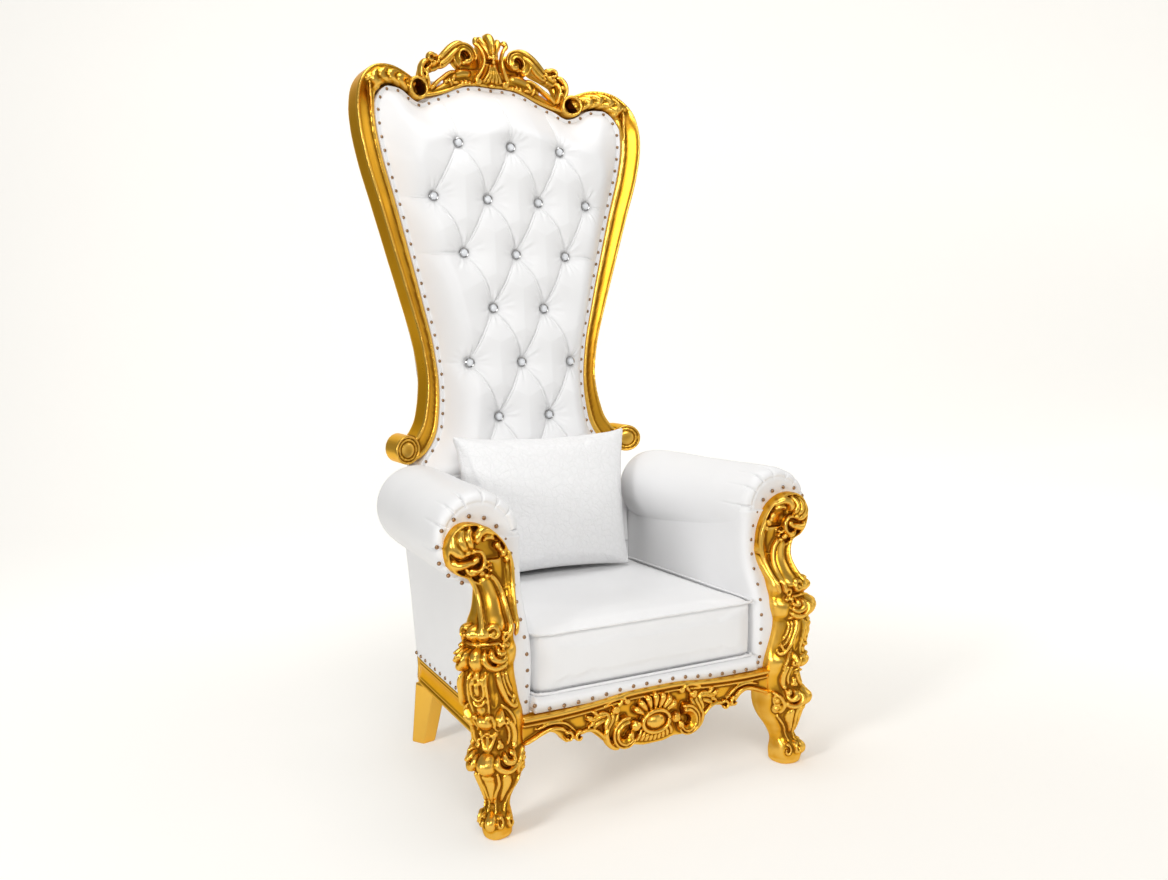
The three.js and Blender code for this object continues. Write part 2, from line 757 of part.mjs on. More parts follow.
const post = frontPost();
const postRoom = frontPost(gap);
const stile = backStile();
const stileRoom = backStile(gap);
const bothRooms = (room) => room.add(mirrored(room));
const armBody = mainBody(arm().subtract(postRoom));
const rail = mainBody(sideRail().subtract(postRoom));

addPiece('front_post_right', post, gilt());
addPiece('front_post_left', mirrored(post), gilt());
addPiece('front_apron', mainBody(frontApron().subtract(bothRooms(postRoom))), gilt());
addPiece('side_rail_right', rail, gilt());
addPiece('side_rail_left', mirrored(rail), gilt());
addPiece('rear_rail', mainBody(rearRail().subtract(bothRooms(rail))), gilt());
addPiece('rear_leg_right', rearLeg(), gilt());
addPiece('rear_leg_left', mirrored(rearLeg()), gilt());
addPiece('back_stile_right', stile, gilt());
addPiece('back_stile_left', mirrored(stile), gilt());
addPiece('back_crest', mainBody(backCrest().subtract(bothRooms(stileRoom))), gilt());
addPiece('back_panel', mainBody(backPanel().subtract(bothRooms(stileRoom))), leather());
addPiece('back_cover', backCover(), leather());
addPiece('arm_right', armBody, leather());
addPiece('arm_left', mirrored(armBody), leather());
addPiece('seat_deck', seatDeck(), leather());
addPiece('seat_cushion', seatCushion(), leather());
addPiece('pillow', pillow(), fabric());

// rows of buttons from the top down: wide rows near the top, narrower at the waist
const rowReach = [1, 1.5, 1, 0.5, 1, 0.5, 1, 0.5];
for (let row = 0; row < buttonRows; row += 1) {
  const z = topButtonZ - row * buttonStep;
  const reach = rowReach[row];
  for (let step = -reach; step <= reach; step += 1) {
    const column = String(Math.round(step + reach) + 1);
    addPiece(`button_${row + 1}_${column}`, button(step * buttonPitch, z), crystal());
  }
}

const reachBox = new THREE.Box3().setFromObject(throne);
throne.position.y = -(reachBox.min.y + reachBox.max.y) / 2;

export default throne;
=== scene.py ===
"""A carved, gilded throne with tufted white upholstery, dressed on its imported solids.

Metres, +Z up, the front faces -Y. Shapes are drawn in a frame whose Y = 0 is the line
through the two front feet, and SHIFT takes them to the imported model's frame.
"""

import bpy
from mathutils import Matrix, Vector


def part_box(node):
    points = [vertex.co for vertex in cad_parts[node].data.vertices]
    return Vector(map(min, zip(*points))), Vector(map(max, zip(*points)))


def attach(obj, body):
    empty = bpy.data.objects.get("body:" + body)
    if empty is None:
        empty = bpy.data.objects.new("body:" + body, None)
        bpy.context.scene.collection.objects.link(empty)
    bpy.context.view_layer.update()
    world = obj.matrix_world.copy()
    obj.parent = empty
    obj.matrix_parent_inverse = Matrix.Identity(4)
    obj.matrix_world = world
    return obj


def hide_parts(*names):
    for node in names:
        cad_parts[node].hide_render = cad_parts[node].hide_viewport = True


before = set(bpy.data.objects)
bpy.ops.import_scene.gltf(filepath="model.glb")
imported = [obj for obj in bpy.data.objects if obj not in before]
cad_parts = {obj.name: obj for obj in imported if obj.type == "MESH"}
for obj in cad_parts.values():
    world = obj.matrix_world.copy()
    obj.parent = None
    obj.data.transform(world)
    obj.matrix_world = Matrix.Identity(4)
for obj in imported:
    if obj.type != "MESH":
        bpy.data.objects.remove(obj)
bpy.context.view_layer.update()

import math

import bpy
import numpy as np
from mathutils import Vector

bl_info = {
    "name": "Throne dressing",
    "version": (1, 0, 0),
    "blender": (4, 5, 0),
    "location": "View3D > Sidebar > Throne",
    "description": "Carved, gilded and upholstered pieces of a tall-backed throne",
    "category": "Object",
}

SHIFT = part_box("seat_deck")[0].y - 0.002      # Y of the front feet's line
PI = math.pi

# ---- curves and tables ----------------------------------------------------------


def curve(rows, count):
    """A smooth line through rows of numbers: cubic Hermite pieces over the chord length."""
    p = np.asarray(rows, float)
    step = np.linalg.norm(np.diff(p[:, :3], axis=0), axis=1)
    s = np.concatenate([[0.0], np.cumsum(np.maximum(step, 1e-6))])
    return eased(s, p, np.linspace(0, s[-1], count))


def eased(s, p, t):
    """Values of the table p, given at s, read at t with a cubic that passes every row."""
    slope = np.gradient(p, s, axis=0)
    i = np.clip(np.searchsorted(s, t, side="right") - 1, 0, len(s) - 2)
    h = (s[i + 1] - s[i])[..., None]
    u = (t - s[i])[..., None] / h
    return ((2 * u**3 - 3 * u**2 + 1) * p[i] + (u**3 - 2 * u**2 + u) * h * slope[i]
            + (3 * u**2 - 2 * u**3) * p[i + 1] + (u**3 - u**2) * h * slope[i + 1])


def read(rows, t):
    """One smooth value per t from rows of (t, value)."""
    rows = np.asarray(rows, float)
    t = np.clip(t, rows[0, 0], rows[-1, 0])
    return eased(rows[:, 0], rows[:, 1:2], np.asarray(t, float))[..., 0]


def ramp(x, low, high):
    """0 below low, 1 above high, eased between."""
    t = np.clip((x - low) / (high - low), 0, 1)
    return t * t * (3 - 2 * t)


# ---- surfaces: a shape is (points, four-sided faces, three-sided faces) -----------


def rings(grid):
    """A closed skin over rings: grid[k, a] is point a of ring k; each end closes at its middle."""
    n, m = grid.shape[:2]
    points = np.concatenate([grid.reshape(-1, 3), grid[0].mean(0)[None], grid[-1].mean(0)[None]])
    k, a = np.meshgrid(np.arange(n - 1), np.arange(m), indexing="ij")
    here, beside = k * m + a, k * m + (a + 1) % m
    quads = np.stack([here, beside, beside + m, here + m], -1).reshape(-1, 4)
    a = np.arange(m)
    b = (a + 1) % m
    first = np.stack([np.full(m, n * m), b, a], -1)
    last = np.stack([np.full(m, n * m + 1), (n - 1) * m + a, (n - 1) * m + b], -1)
    return faced_out((points, quads, np.concatenate([first, last])))


def plate(front, back):
    """A closed skin between two sheets of the same grid, with walls round their border."""
    n, m = front.shape[:2]
    points = np.concatenate([front.reshape(-1, 3), back.reshape(-1, 3)])
    i, j = np.meshgrid(np.arange(n - 1), np.arange(m - 1), indexing="ij")
    a = i * m + j
    face = np.stack([a, a + 1, a + m + 1, a + m], -1).reshape(-1, 4)
    rim = np.concatenate([np.arange(m), np.arange(1, n) * m + m - 1,
                          (n - 1) * m + np.arange(m - 2, -1, -1), np.arange(n - 2, 0, -1) * m])
    after = np.roll(rim, -1)
    wall = np.stack([after, rim, rim + n * m, after + n * m], -1)
    quads = np.concatenate([face, face[:, ::-1] + n * m, wall])
    return faced_out((points, quads, np.zeros((0, 3), int)))


def faced_out(shape):
    """The same closed skin with its faces turned to point out, judged by its signed volume."""
    points, quads, tris = shape
    all_tris = np.concatenate([quads[:, [0, 1, 2]], quads[:, [0, 2, 3]], tris])
    a, b, c = (points[all_tris[:, k]] - points.mean(0) for k in range(3))
    if np.einsum("ij,ij->i", a, np.cross(b, c)).sum() < 0:
        return points, quads[:, ::-1], tris[:, ::-1]
    return shape


def joined(shapes):
    """Several skins as one."""
    points, quads, tris, base = [], [], [], 0
    for p, q, t in shapes:
        points.append(p)
        quads.append(q + base)
        tris.append(t + base)
        base += len(p)
    return np.concatenate(points), np.concatenate(quads), np.concatenate(tris)


def mirrored(shape):
    """The mirror image in the plane X = 0."""
    points, quads, tris = shape
    return points * [-1, 1, 1], quads[:, ::-1], tris[:, ::-1]


def both(shapes):
    """Shapes and their mirror images."""
    return list(shapes) + [mirrored(s) for s in shapes]


# ---- pieces ------------------------------------------------------------------------


def new_mesh(name, shape, smooth=True):
    """A Blender mesh of a shape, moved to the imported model's frame."""
    points, quads, tris = shape
    mesh = bpy.data.meshes.new(name)
    mesh.vertices.add(len(points))
    mesh.vertices.foreach_set("co", (points + [0, SHIFT, 0]).astype(np.float32).ravel())
    corners = np.concatenate([quads.ravel(), tris.ravel()]).astype(np.int32)
    mesh.loops.add(len(corners))
    mesh.loops.foreach_set("vertex_index", corners)
    starts = np.concatenate([np.arange(len(quads)) * 4, len(quads) * 4 + np.arange(len(tris)) * 3])
    mesh.polygons.add(len(starts))
    mesh.polygons.foreach_set("loop_start", starts.astype(np.int32))
    mesh.polygons.foreach_set("use_smooth", np.full(len(starts), smooth))
    mesh.update(calc_edges=True)
    mesh.validate()
    return mesh


def piece(name, shape, material, smooth=True):
    """A Blender object of a shape, with its place in its mesh."""
    obj = bpy.data.objects.new(name, new_mesh(name, shape, smooth))
    bpy.context.scene.collection.objects.link(obj)
    obj.data.materials.append(material)
    return obj


def shape_of(mesh):
    """The points and faces of a mesh, in the drawing frame."""
    points = np.zeros(len(mesh.vertices) * 3, np.float32)
    mesh.vertices.foreach_get("co", points)
    points = points.reshape(-1, 3).astype(float) - [0, SHIFT, 0]
    total = np.zeros(len(mesh.polygons), np.int32)
    mesh.polygons.foreach_get("loop_total", total)
    start = np.zeros(len(mesh.polygons), np.int32)
    mesh.polygons.foreach_get("loop_start", start)
    corner = np.zeros(len(mesh.loops), np.int32)
    mesh.loops.foreach_get("vertex_index", corner)
    quads = corner[start[total == 4][:, None] + np.arange(4)]
    tris = corner[start[total == 3][:, None] + np.arange(3)]
    return points, quads, tris


def neighbours(shape):
    """Both ends of every edge, each way round."""
    _, quads, tris = shape
    pairs = [quads[:, [k, (k + 1) % 4]] for k in range(4)] + [tris[:, [k, (k + 1) % 3]] for k in range(3)]
    pairs = np.concatenate(pairs)
    return np.concatenate([pairs[:, 0], pairs[:, 1]]), np.concatenate([pairs[:, 1], pairs[:, 0]])


def averaged(points, ends, count):
    """Each point's neighbours, averaged."""
    here, there = ends
    total = [np.bincount(here, points[there, k], len(points)) for k in range(3)]
    return np.stack(total, -1) / count


def relaxed(shape, times, shrink=0.5, grow=-0.52):
    """Evened out by moving each point towards its neighbours and then a little back."""
    points, quads, tris = shape
    ends = neighbours(shape)
    count = np.bincount(ends[0], minlength=len(points))[:, None]
    for k in range(times * 2):
        points = points + (shrink if k % 2 == 0 else grow) * (averaged(points, ends, count) - points)
    return points, quads, tris


def normals_of(shape):
    """Unit normals at the points, from the faces' diagonals."""
    points, quads, tris = shape
    normal = np.zeros_like(points)
    flat = np.cross(points[quads[:, 2]] - points[quads[:, 0]], points[quads[:, 3]] - points[quads[:, 1]])
    for k in range(4):
        for axis in range(3):
            normal[:, axis] += np.bincount(quads[:, k], flat[:, axis], len(points))
    if len(tris):
        flat = np.cross(points[tris[:, 1]] - points[tris[:, 0]], points[tris[:, 2]] - points[tris[:, 0]])
        for k in range(3):
            for axis in range(3):
                normal[:, axis] += np.bincount(tris[:, k], flat[:, axis], len(points))
    return normal / (np.linalg.norm(normal, axis=1, keepdims=True) + 1e-12)


def hollowness(shape):
    """How deep each point lies below its surroundings, near and wide, in metres."""
    points = shape[0]
    ends = neighbours(shape)
    count = np.bincount(ends[0], minlength=len(points))[:, None]
    normal = normals_of(shape)
    near = points
    for _ in range(5):
        near = averaged(near, ends, count)
    wide = near
    for _ in range(30):
        wide = averaged(wide, ends, count)
    fine = np.einsum("ij,ij->i", near - points, normal)
    broad = np.einsum("ij,ij->i", wide - points, normal)
    return fine, broad


def skin(shapes, voxel, relax=2):
    """One skin over overlapping closed shapes: remeshed in cells of the voxel's size, then evened."""
    raw = bpy.data.objects.new("form", new_mesh("form", joined(shapes)))
    bpy.context.scene.collection.objects.link(raw)
    remesh = raw.modifiers.new("skin", "REMESH")
    remesh.mode = "VOXEL"
    remesh.voxel_size = voxel
    remesh.adaptivity = 0
    evaluated = raw.evaluated_get(bpy.context.evaluated_depsgraph_get())
    mesh = bpy.data.meshes.new_from_object(evaluated)
    bpy.data.objects.remove(raw)
    shape = faced_out(shape_of(mesh))
    bpy.data.meshes.remove(mesh)
    return relaxed(shape, relax)


def carved(name, shape, material):
    """A gilded piece with its hollows stored for the finish."""
    obj = piece(name, shape, material)
    fine, broad = hollowness(shape)
    # the gilding's finish paints shade in these hollows and highlight on the crowns between them
    value = np.clip(0.5 + fine * 900 + broad * 190, 0, 1)
    layer = obj.data.attributes.new("hollow", "FLOAT", "POINT")
    layer.data.foreach_set("value", value.astype(np.float32))
    return obj


# ---- ornament, drawn on a face: u across, v up, h outward ---------------------------


def roll(chart, rows, count=30, around=10, blunt=0.14):
    """A rounded roll along a line on a face.

    rows of (u, v, h, half width, half height); ring angle a lies at
    line + across * half width * cos a, h + half height * sin a, rounded off at both ends.
    """
    u, v, h, wide, high = curve(rows, count).T
    du, dv = np.gradient(u), np.gradient(v)
    size = np.hypot(du, dv) + 1e-9
    t = np.linspace(0, 1, count)
    close = np.sqrt(np.clip(1 - np.clip(1 - np.minimum(t, 1 - t) / blunt, 0, 1) ** 2, 0.01, 1))
    a = np.linspace(0, 2 * PI, around, endpoint=False)
    across = (np.abs(wide) * close)[:, None] * np.cos(a)
    return rings(chart(u[:, None] + (dv / size)[:, None] * across,
                       v[:, None] - (du / size)[:, None] * across,
                       h[:, None] + (np.abs(high) * close)[:, None] * np.sin(a)))


def bead(chart, u, v, h, ru, rv=None, rh=None, turn=0.0):
    """A ball or drop on a face: half sizes ru across, rv up, rh outward, turned in the face."""
    rv, rh = rv or ru, rh or ru
    p = np.linspace(0.12, PI - 0.12, 11)[:, None]
    a = np.linspace(0, 2 * PI, 14, endpoint=False)[None]
    x, y, z = ru * np.sin(p) * np.cos(a), rv * np.cos(p) * np.ones_like(a), rh * np.sin(p) * np.sin(a)
    c, s = math.cos(turn), math.sin(turn)
    return rings(chart(u + x * c - y * s, v + x * s + y * c, h + z))


def spiral(chart, u, v, h, reach, start, sweep, wide, high, side=1, rise=0.0, end=0.22, count=46, late=0.85,
           slim=0.45):
    """A scroll wound round an eye at (u, v).

    The line's radius falls from reach to end * reach, as t^late, while its angle runs from
    start over sweep; width and height shrink with it. rise lifts the inner end.
    """
    t = np.linspace(0, 1, 12)
    angle = start + sweep * t
    radius = reach * (1 - (1 - end) * t ** late)
    rows = np.stack([u + side * radius * np.cos(angle), v + radius * np.sin(angle), h + rise * t,
                     wide * (1 - slim * t), high * (1 - 0.3 * t)], -1)
    return roll(chart, rows, count, 10, 0.06)


def leaf(chart, rows, ribs=3, high=0.006, deep=0.007, notches=0, cup=0.0, count=34, across=25):
    """A carved leaf or fluted panel along a line on a face.

    rows of (u, v, h, half width). Across it, t runs from -1 to 1: its height is
    high * (1 - |t|^2.4) with `ribs` flutes cut in by a cosine; cup > 0 turns up its edges;
    `notches` scallop its outline; deep is its thickness under the edge.
    """
    u, v, h, wide = curve(rows, count).T
    s = np.linspace(0, 1, count)
    close = np.sqrt(np.clip(1 - np.clip(1 - np.minimum(s, 1 - s) / 0.12, 0, 1) ** 2, 0.03, 1))
    du, dv = np.gradient(u), np.gradient(v)
    size = np.hypot(du, dv) + 1e-9
    t = np.linspace(-1, 1, across)[None]
    edge = 1 - 0.13 * (notches > 0) * (0.5 + 0.5 * np.cos(2 * PI * notches * s))[:, None] * np.abs(t)
    reach = (np.abs(wide) * close)[:, None] * t * edge
    pu, pv = u[:, None] + (dv / size)[:, None] * reach, v[:, None] - (du / size)[:, None] * reach
    lift = (1 - np.abs(t) ** 2.4) * (0.7 + 0.3 * np.cos(PI * ribs * t)) * close[:, None]
    front = chart(pu, pv, h[:, None] + high * lift + cup * t ** 2)
    return plate(front, chart(pu, pv, h[:, None] - deep + 0 * lift))


# ---- the back's own faces ------------------------------------------------------------

FRAME_DEEP = 0.078      # thickness of the back frame, front to rear
FRAME_FOOT = 0.72       # height of the frame's lower end, from which it leans back


def back_face(x, z):
    """Y of the back frame's face: it leans back as it rises and its wings come forward."""
    t = np.clip((z - FRAME_FOOT) / 0.90, 0, 1.3)
    return 0.700 + 0.118 * t ** 1.15 + 0.13 * np.minimum(z - FRAME_FOOT, 0) - 0.6 * x * x


def on_back(u, v, h):
    """Chart of the back frame: X, Z and forward of its face."""
    return np.stack(np.broadcast_arrays(u, back_face(u, v) - h, v), -1)


STILE_LINE = [
    (0.318, 0.712), (0.282, 0.728), (0.252, 0.768), (0.238, 0.822), (0.232, 0.885), (0.240, 0.970),
    (0.271, 1.100), (0.304, 1.222), (0.338, 1.345), (0.371, 1.462), (0.383, 1.530), (0.384, 1.582),
    (0.371, 1.632), (0.340, 1.664), (0.300, 1.673), (0.262, 1.664), (0.234, 1.650),
]
STILE_WIDTH = [(0, 0.052), (0.06, 0.050), (0.12, 0.042), (0.2, 0.034), (0.3, 0.035), (0.45, 0.043),
               (0.7, 0.052), (0.84, 0.053), (0.93, 0.048), (1, 0.044)]
ROUNDEL = (0.323, 0.722, 0.037)
CURL = (0.226, 1.647, 0.030)


def stile_track(count):
    """Centre line of the stile, its direction and its width, over its length s from 0 to 1."""
    s = np.linspace(0, 1, count)
    line = curve([(x, z, 0) for x, z in STILE_LINE], count)[:, :2]
    way = np.gradient(line, axis=0)
    way /= np.linalg.norm(way, axis=1, keepdims=True)
    return s, line, way, read(STILE_WIDTH, s)


def stile_shapes():
    """The moulded side of the back frame.

    Section: an outer side, a rounded outer bead, a wide shallow cove, a thin double bead at
    the inner edge. Rounded ribs run across the shoulder; both ends are scrolls.
    """
    count = 300
    s, line, way, width = stile_track(count)
    # across from the outer edge (+0.5) to the inner (-0.5), and height above the face, mm
    face = [(0.5, -14), (0.5, -6), (0.49, -2.0), (0.465, 0.8), (0.425, 1.8), (0.385, 1.0), (0.36, -0.9),
            (0.335, -1.5), (0.30, -1.9), (0.2, -2.6), (0.08, -3.2), (-0.06, -3.2), (-0.17, -2.6),
            (-0.235, -1.8), (-0.25, -0.6), (-0.275, 0.9), (-0.30, 0.9), (-0.32, -0.3), (-0.335, -0.5),
            (-0.355, 0.7), (-0.385, 1.0), (-0.43, -0.2), (-0.475, -3.0), (-0.5, -7), (-0.5, -14)]
    face = np.array(face)
    back = np.array([(-0.5, -40), (-0.5, -70), (-0.48, -77), (-0.3, -78), (0, -78), (0.3, -78),
                     (0.48, -77), (0.5, -70), (0.5, -40)])
    section = np.concatenate([face, back])
    front = (section[:, 1] > -20)[None]
    # the ribs keep to the inner side of the outer bead
    inward = np.clip((section[None, :, 0] + 0.10) / 0.42, -1, 1)
    lag = 0.024 * inward ** 2                             # and arch back at both ends
    ribbed = ramp(s, 0.858, 0.874)[:, None]
    rib = np.abs(np.sin((s[:, None] - 0.866 - lag) / 0.134 * PI * 5)) ** 0.55 * ribbed
    crown = np.sqrt(np.clip(1 - inward ** 2, 0, 1))
    plain = section[None, :, 1] * 0.001
    plain = plain - 0.0045 * crown * np.exp(-((s[:, None] - 0.845) / 0.020) ** 2)
    bulged = plain + 0.020 * crown * (0.52 + 0.48 * rib)
    height = np.where(front & (section[None, :, 1] > -10), plain * (1 - ribbed) + bulged * ribbed, plain)
    across = section[None, :, 0] * (width[:, None] + 0.004 * rib * ribbed * (section[None, :, 0] < 0))
    x = line[:, 0:1] + across * way[:, 1:2]
    z = line[:, 1:2] - across * way[:, 0:1]
    shapes = [rings(on_back(x, z, height))]
    # a thin tongue folds out of the inner bead where the ribs begin
    k = [int(count * q) for q in (0.79, 0.825, 0.852, 0.868)]
    shapes.append(roll(on_back, [(line[i, 0] + a * way[i, 1], line[i, 1] - a * way[i, 0], h, w, 0.005)
                                 for i, a, h, w in
                                 zip(k, (-0.016, -0.014, -0.006, 0.004), (0.000, 0.001, 0.002, 0.002),
                                     (0.0022, 0.0030, 0.0032, 0.0022))], 40))
    shapes.append(turned_end(*ROUNDEL, [
        (1.0, -FRAME_DEEP), (1.0, 0.001), (0.975, 0.005), (0.92, 0.0075), (0.86, 0.006), (0.82, 0.001),
        (0.78, -0.001), (0.74, 0.002), (0.70, 0.0055), (0.65, 0.0045), (0.61, 0.0005), (0.57, 0.0),
        (0.53, 0.003), (0.46, 0.0055), (0.3, 0.0065), (0.12, 0.007), (0.02, 0.007)]))
    shapes.append(turned_end(*CURL, [
        (1.0, -0.06), (1.0, 0.012), (0.96, 0.019), (0.86, 0.0235), (0.74, 0.022), (0.66, 0.016),
        (0.60, 0.004), (0.56, -0.012), (0.5, -0.026), (0.3, -0.030), (0.02, -0.031)]))
    return shapes


def turned_end(x, z, radius, profile):
    """A round end: a profile of (share of the radius, height) turned about an axis along Y."""
    a = np.linspace(0, 2 * PI, 40, endpoint=False)[None]
    r, h = np.array(profile).T
    pu = x + radius * r[:, None] * np.cos(a)
    pv = z + radius * r[:, None] * np.sin(a)
    y = back_face(pu, np.full_like(pu, z)) - h[:, None]
    return rings(np.stack([pu, y, pv], -1))


# ---- crest ---------------------------------------------------------------------------

CREST_EDGE = [(0, 1.681), (0.045, 1.681), (0.078, 1.677), (0.108, 1.664), (0.140, 1.649),
              (0.170, 1.638), (0.205, 1.628)]


def crest_shapes():
    """The pierced crest: arched rail, palmette over a fluted bell, two scrolls and two leafy arms."""
    low = np.array(CREST_EDGE)
    xs = np.linspace(-0.2, 0.2, 81)
    edge = read(CREST_EDGE, np.abs(xs))
    tall = read([(0, 0.046), (0.06, 0.042), (0.11, 0.036), (0.15, 0.025), (0.2, 0.016)], np.abs(xs))
    # arched rail: a smooth board with a bead along its lower edge
    v = np.linspace(0, 1, 9)[:, None]
    front = on_back(xs + 0 * v, edge + tall * v, 0.002 + 0.004 * np.sin(PI * v))
    shapes = [plate(front, on_back(xs + 0 * v, edge + tall * v, -0.036 + 0 * v))]
    rows = [(x, z + 0.004, 0.003, 0.0045, 0.006) for x, z in [(-a, b) for a, b in low[:0:-1]] + list(low)]
    shapes.append(roll(on_back, rows, 90, 8, 0.01))
    one = []
    # palmette: tall middle flute, its neighbours, and an S-shaped rib that curls out at both ends
    centre = [leaf(on_back, [(0, 1.752, 0.022, 0.006), (0, 1.775, 0.028, 0.010), (0, 1.802, 0.026, 0.0125),
                             (0, 1.822, 0.014, 0.010), (0, 1.829, 0.004, 0.005)], 0, 0.008, 0.022)]
    centre.append(roll(on_back, [(0, 1.758, 0.030, 0.002, 0.002), (0, 1.786, 0.036, 0.0032, 0.003),
                                 (0, 1.812, 0.026, 0.004, 0.003)], 20, 8))
    one.append(leaf(on_back, [(0.006, 1.752, 0.020, 0.004), (0.014, 1.776, 0.024, 0.007),
                              (0.024, 1.800, 0.018, 0.009), (0.029, 1.815, 0.008, 0.006)], 0, 0.007, 0.022))
    one.append(roll(on_back, [(0.034, 1.797, 0.018, 0.006, 0.008), (0.042, 1.803, 0.018, 0.0075, 0.009),
                              (0.046, 1.793, 0.020, 0.0065, 0.009), (0.037, 1.782, 0.024, 0.0052, 0.009),
                              (0.029, 1.766, 0.027, 0.005, 0.009), (0.026, 1.750, 0.028, 0.005, 0.009),
                              (0.029, 1.732, 0.026, 0.005, 0.009), (0.038, 1.712, 0.020, 0.0055, 0.009),
                              (0.045, 1.699, 0.014, 0.0065, 0.009), (0.041, 1.688, 0.012, 0.0068, 0.009),
                              (0.032, 1.690, 0.014, 0.006, 0.008)], 70, 10, 0.05))
    one.append(bead(on_back, 0.044, 1.798, 0.020, 0.006))
    one.append(bead(on_back, 0.036, 1.692, 0.016, 0.006))
    # waist beads
    for u, v0, r in [(0, 1.756, 0.0075), (0, 1.769, 0.005), (0, 1.743, 0.005)]:
        centre.append(bead(on_back, u, v0, 0.034, r))
    one.append(bead(on_back, 0.011, 1.756, 0.031, 0.005))
    # fluted bell under the waist
    centre.append(leaf(on_back, [(0, 1.746, 0.012, 0.020), (0, 1.725, 0.014, 0.023), (0, 1.703, 0.012, 0.030),
                                 (0, 1.686, 0.004, 0.038)], 0, 0.010, 0.03))
    for lean, size in [(0, 0.0055), (0.011, 0.005), (0.022, 0.0045)]:
        target = one if lean else centre
        target.append(roll(on_back, [(lean * 0.25, 1.742, 0.024, 0.0022, 0.003),
                                     (lean * 0.5, 1.720, 0.026, size * 0.7, 0.005),
                                     (lean * 1.2, 1.690, 0.016, size, 0.006)], 22, 8))
    centre.append(bead(on_back, 0, 1.683, 0.012, 0.010, 0.005, 0.008))
    # backing behind palmette and bell
    centre.append(leaf(on_back, [(0, 1.69, -0.008, 0.040), (0, 1.74, -0.002, 0.030), (0, 1.78, -0.002, 0.032),
                                 (0, 1.812, -0.006, 0.022)], 0, 0.012, 0.02))
    # backing that carries the scroll and the arm, clear of the teardrop opening
    one.append(leaf(on_back, [(0.034, 1.700, -0.010, 0.016), (0.050, 1.735, -0.010, 0.030),
                              (0.078, 1.752, -0.010, 0.030), (0.108, 1.757, -0.008, 0.020),
                              (0.140, 1.736, -0.006, 0.015), (0.168, 1.722, -0.006, 0.014),
                              (0.194, 1.704, -0.006, 0.014), (0.203, 1.676, -0.006, 0.014),
                              (0.198, 1.648, -0.006, 0.014)],
                    0, 0.006, 0.020, 0, 0, 60))
    # C-scroll: a broad roll with a raised band on each edge, wound over the top into a deep eye
    one.append(spiral(on_back, 0.0770, 1.752, 0.004, 0.0285, -1.15, 6.3, 0.0130, 0.020, 1, 0.008, 0.28, 70,
                      2.0, 0.40))
    one.append(spiral(on_back, 0.0770, 1.752, 0.018, 0.0375, -1.0, 4.4, 0.0032, 0.007, 1, 0.004, 0.80, 50,
                      2.0, 0.2))
    one.append(spiral(on_back, 0.0770, 1.752, 0.018, 0.0195, -0.8, 4.4, 0.0028, 0.007, 1, 0.006, 0.60, 50,
                      2.0, 0.2))
    one.append(bead(on_back, 0.067, 1.741, 0.014, 0.0072))
    one.append(bead(on_back, 0.081, 1.736, 0.012, 0.0060))
    one.append(bead(on_back, 0.057, 1.752, 0.014, 0.0058))
    # arm: a thick S-shaped band, grooved twice along its length, that runs out and down to a leafy knob
    for rows in ([(0.070, 1.787, 0.006, 0.0060, 0.013), (0.096, 1.785, 0.012, 0.0085, 0.015),
                  (0.118, 1.772, 0.014, 0.0088, 0.015), (0.138, 1.753, 0.013, 0.0084, 0.014),
                  (0.154, 1.738, 0.010, 0.0070, 0.012), (0.168, 1.735, 0.007, 0.0050, 0.010)],
                 [(0.088, 1.774, 0.010, 0.0045, 0.012), (0.108, 1.762, 0.016, 0.0074, 0.014),
                  (0.128, 1.743, 0.016, 0.0078, 0.014), (0.146, 1.727, 0.013, 0.0068, 0.012),
                  (0.160, 1.720, 0.010, 0.0045, 0.010)],
                 [(0.100, 1.758, 0.010, 0.0036, 0.010), (0.114, 1.748, 0.014, 0.0058, 0.012),
                  (0.132, 1.728, 0.013, 0.0060, 0.011), (0.148, 1.715, 0.010, 0.0048, 0.010),
                  (0.162, 1.710, 0.007, 0.0034, 0.008)]):
        one.append(roll(on_back, rows, 50, 12))
    one.append(leaf(on_back, [(0.146, 1.730, 0.004, 0.010), (0.162, 1.724, 0.008, 0.016),
                              (0.178, 1.716, 0.008, 0.018), (0.192, 1.706, 0.004, 0.012)], 2, 0.012, 0.018, 3,
                    0.002, 40))
    one.append(spiral(on_back, 0.180, 1.732, 0.010, 0.0135, 2.8, -5.4, 0.0072, 0.014, 1, 0.004, 0.30, 46,
                      1.1))
    one.append(bead(on_back, 0.166, 1.741, 0.010, 0.0078, 0.0074, 0.011, -0.6))
    for u, v0, size in [(0.160, 1.728, 1.0), (0.171, 1.722, 0.9), (0.183, 1.715, 0.8), (0.156, 1.717, 0.7)]:
        one.append(bead(on_back, u, v0, 0.017, 0.0046 * size, 0.0060 * size, 0.007, 0.6))
    # end curl: a cord that loops out and down, with another inside it
    one.append(roll(on_back, [(0.184, 1.722, 0.006, 0.0050, 0.013), (0.198, 1.722, 0.009, 0.0074, 0.015),
                              (0.211, 1.708, 0.009, 0.0080, 0.016), (0.214, 1.688, 0.008, 0.0080, 0.016),
                              (0.207, 1.668, 0.007, 0.0074, 0.015), (0.200, 1.648, 0.005, 0.0064, 0.012)], 50,
                    12))
    one.append(roll(on_back, [(0.180, 1.706, 0.006, 0.0042, 0.010), (0.191, 1.704, 0.009, 0.0062, 0.012),
                              (0.197, 1.690, 0.009, 0.0066, 0.013), (0.193, 1.672, 0.008, 0.0064, 0.012),
                              (0.190, 1.650, 0.005, 0.0052, 0.010)], 40, 12))
    one.append(bead(on_back, 0.204, 1.696, 0.014, 0.0050, 0.0070, 0.008, 0.2))
    one.append(bead(on_back, 0.200, 1.679, 0.014, 0.0046, 0.0066, 0.008, 0.0))
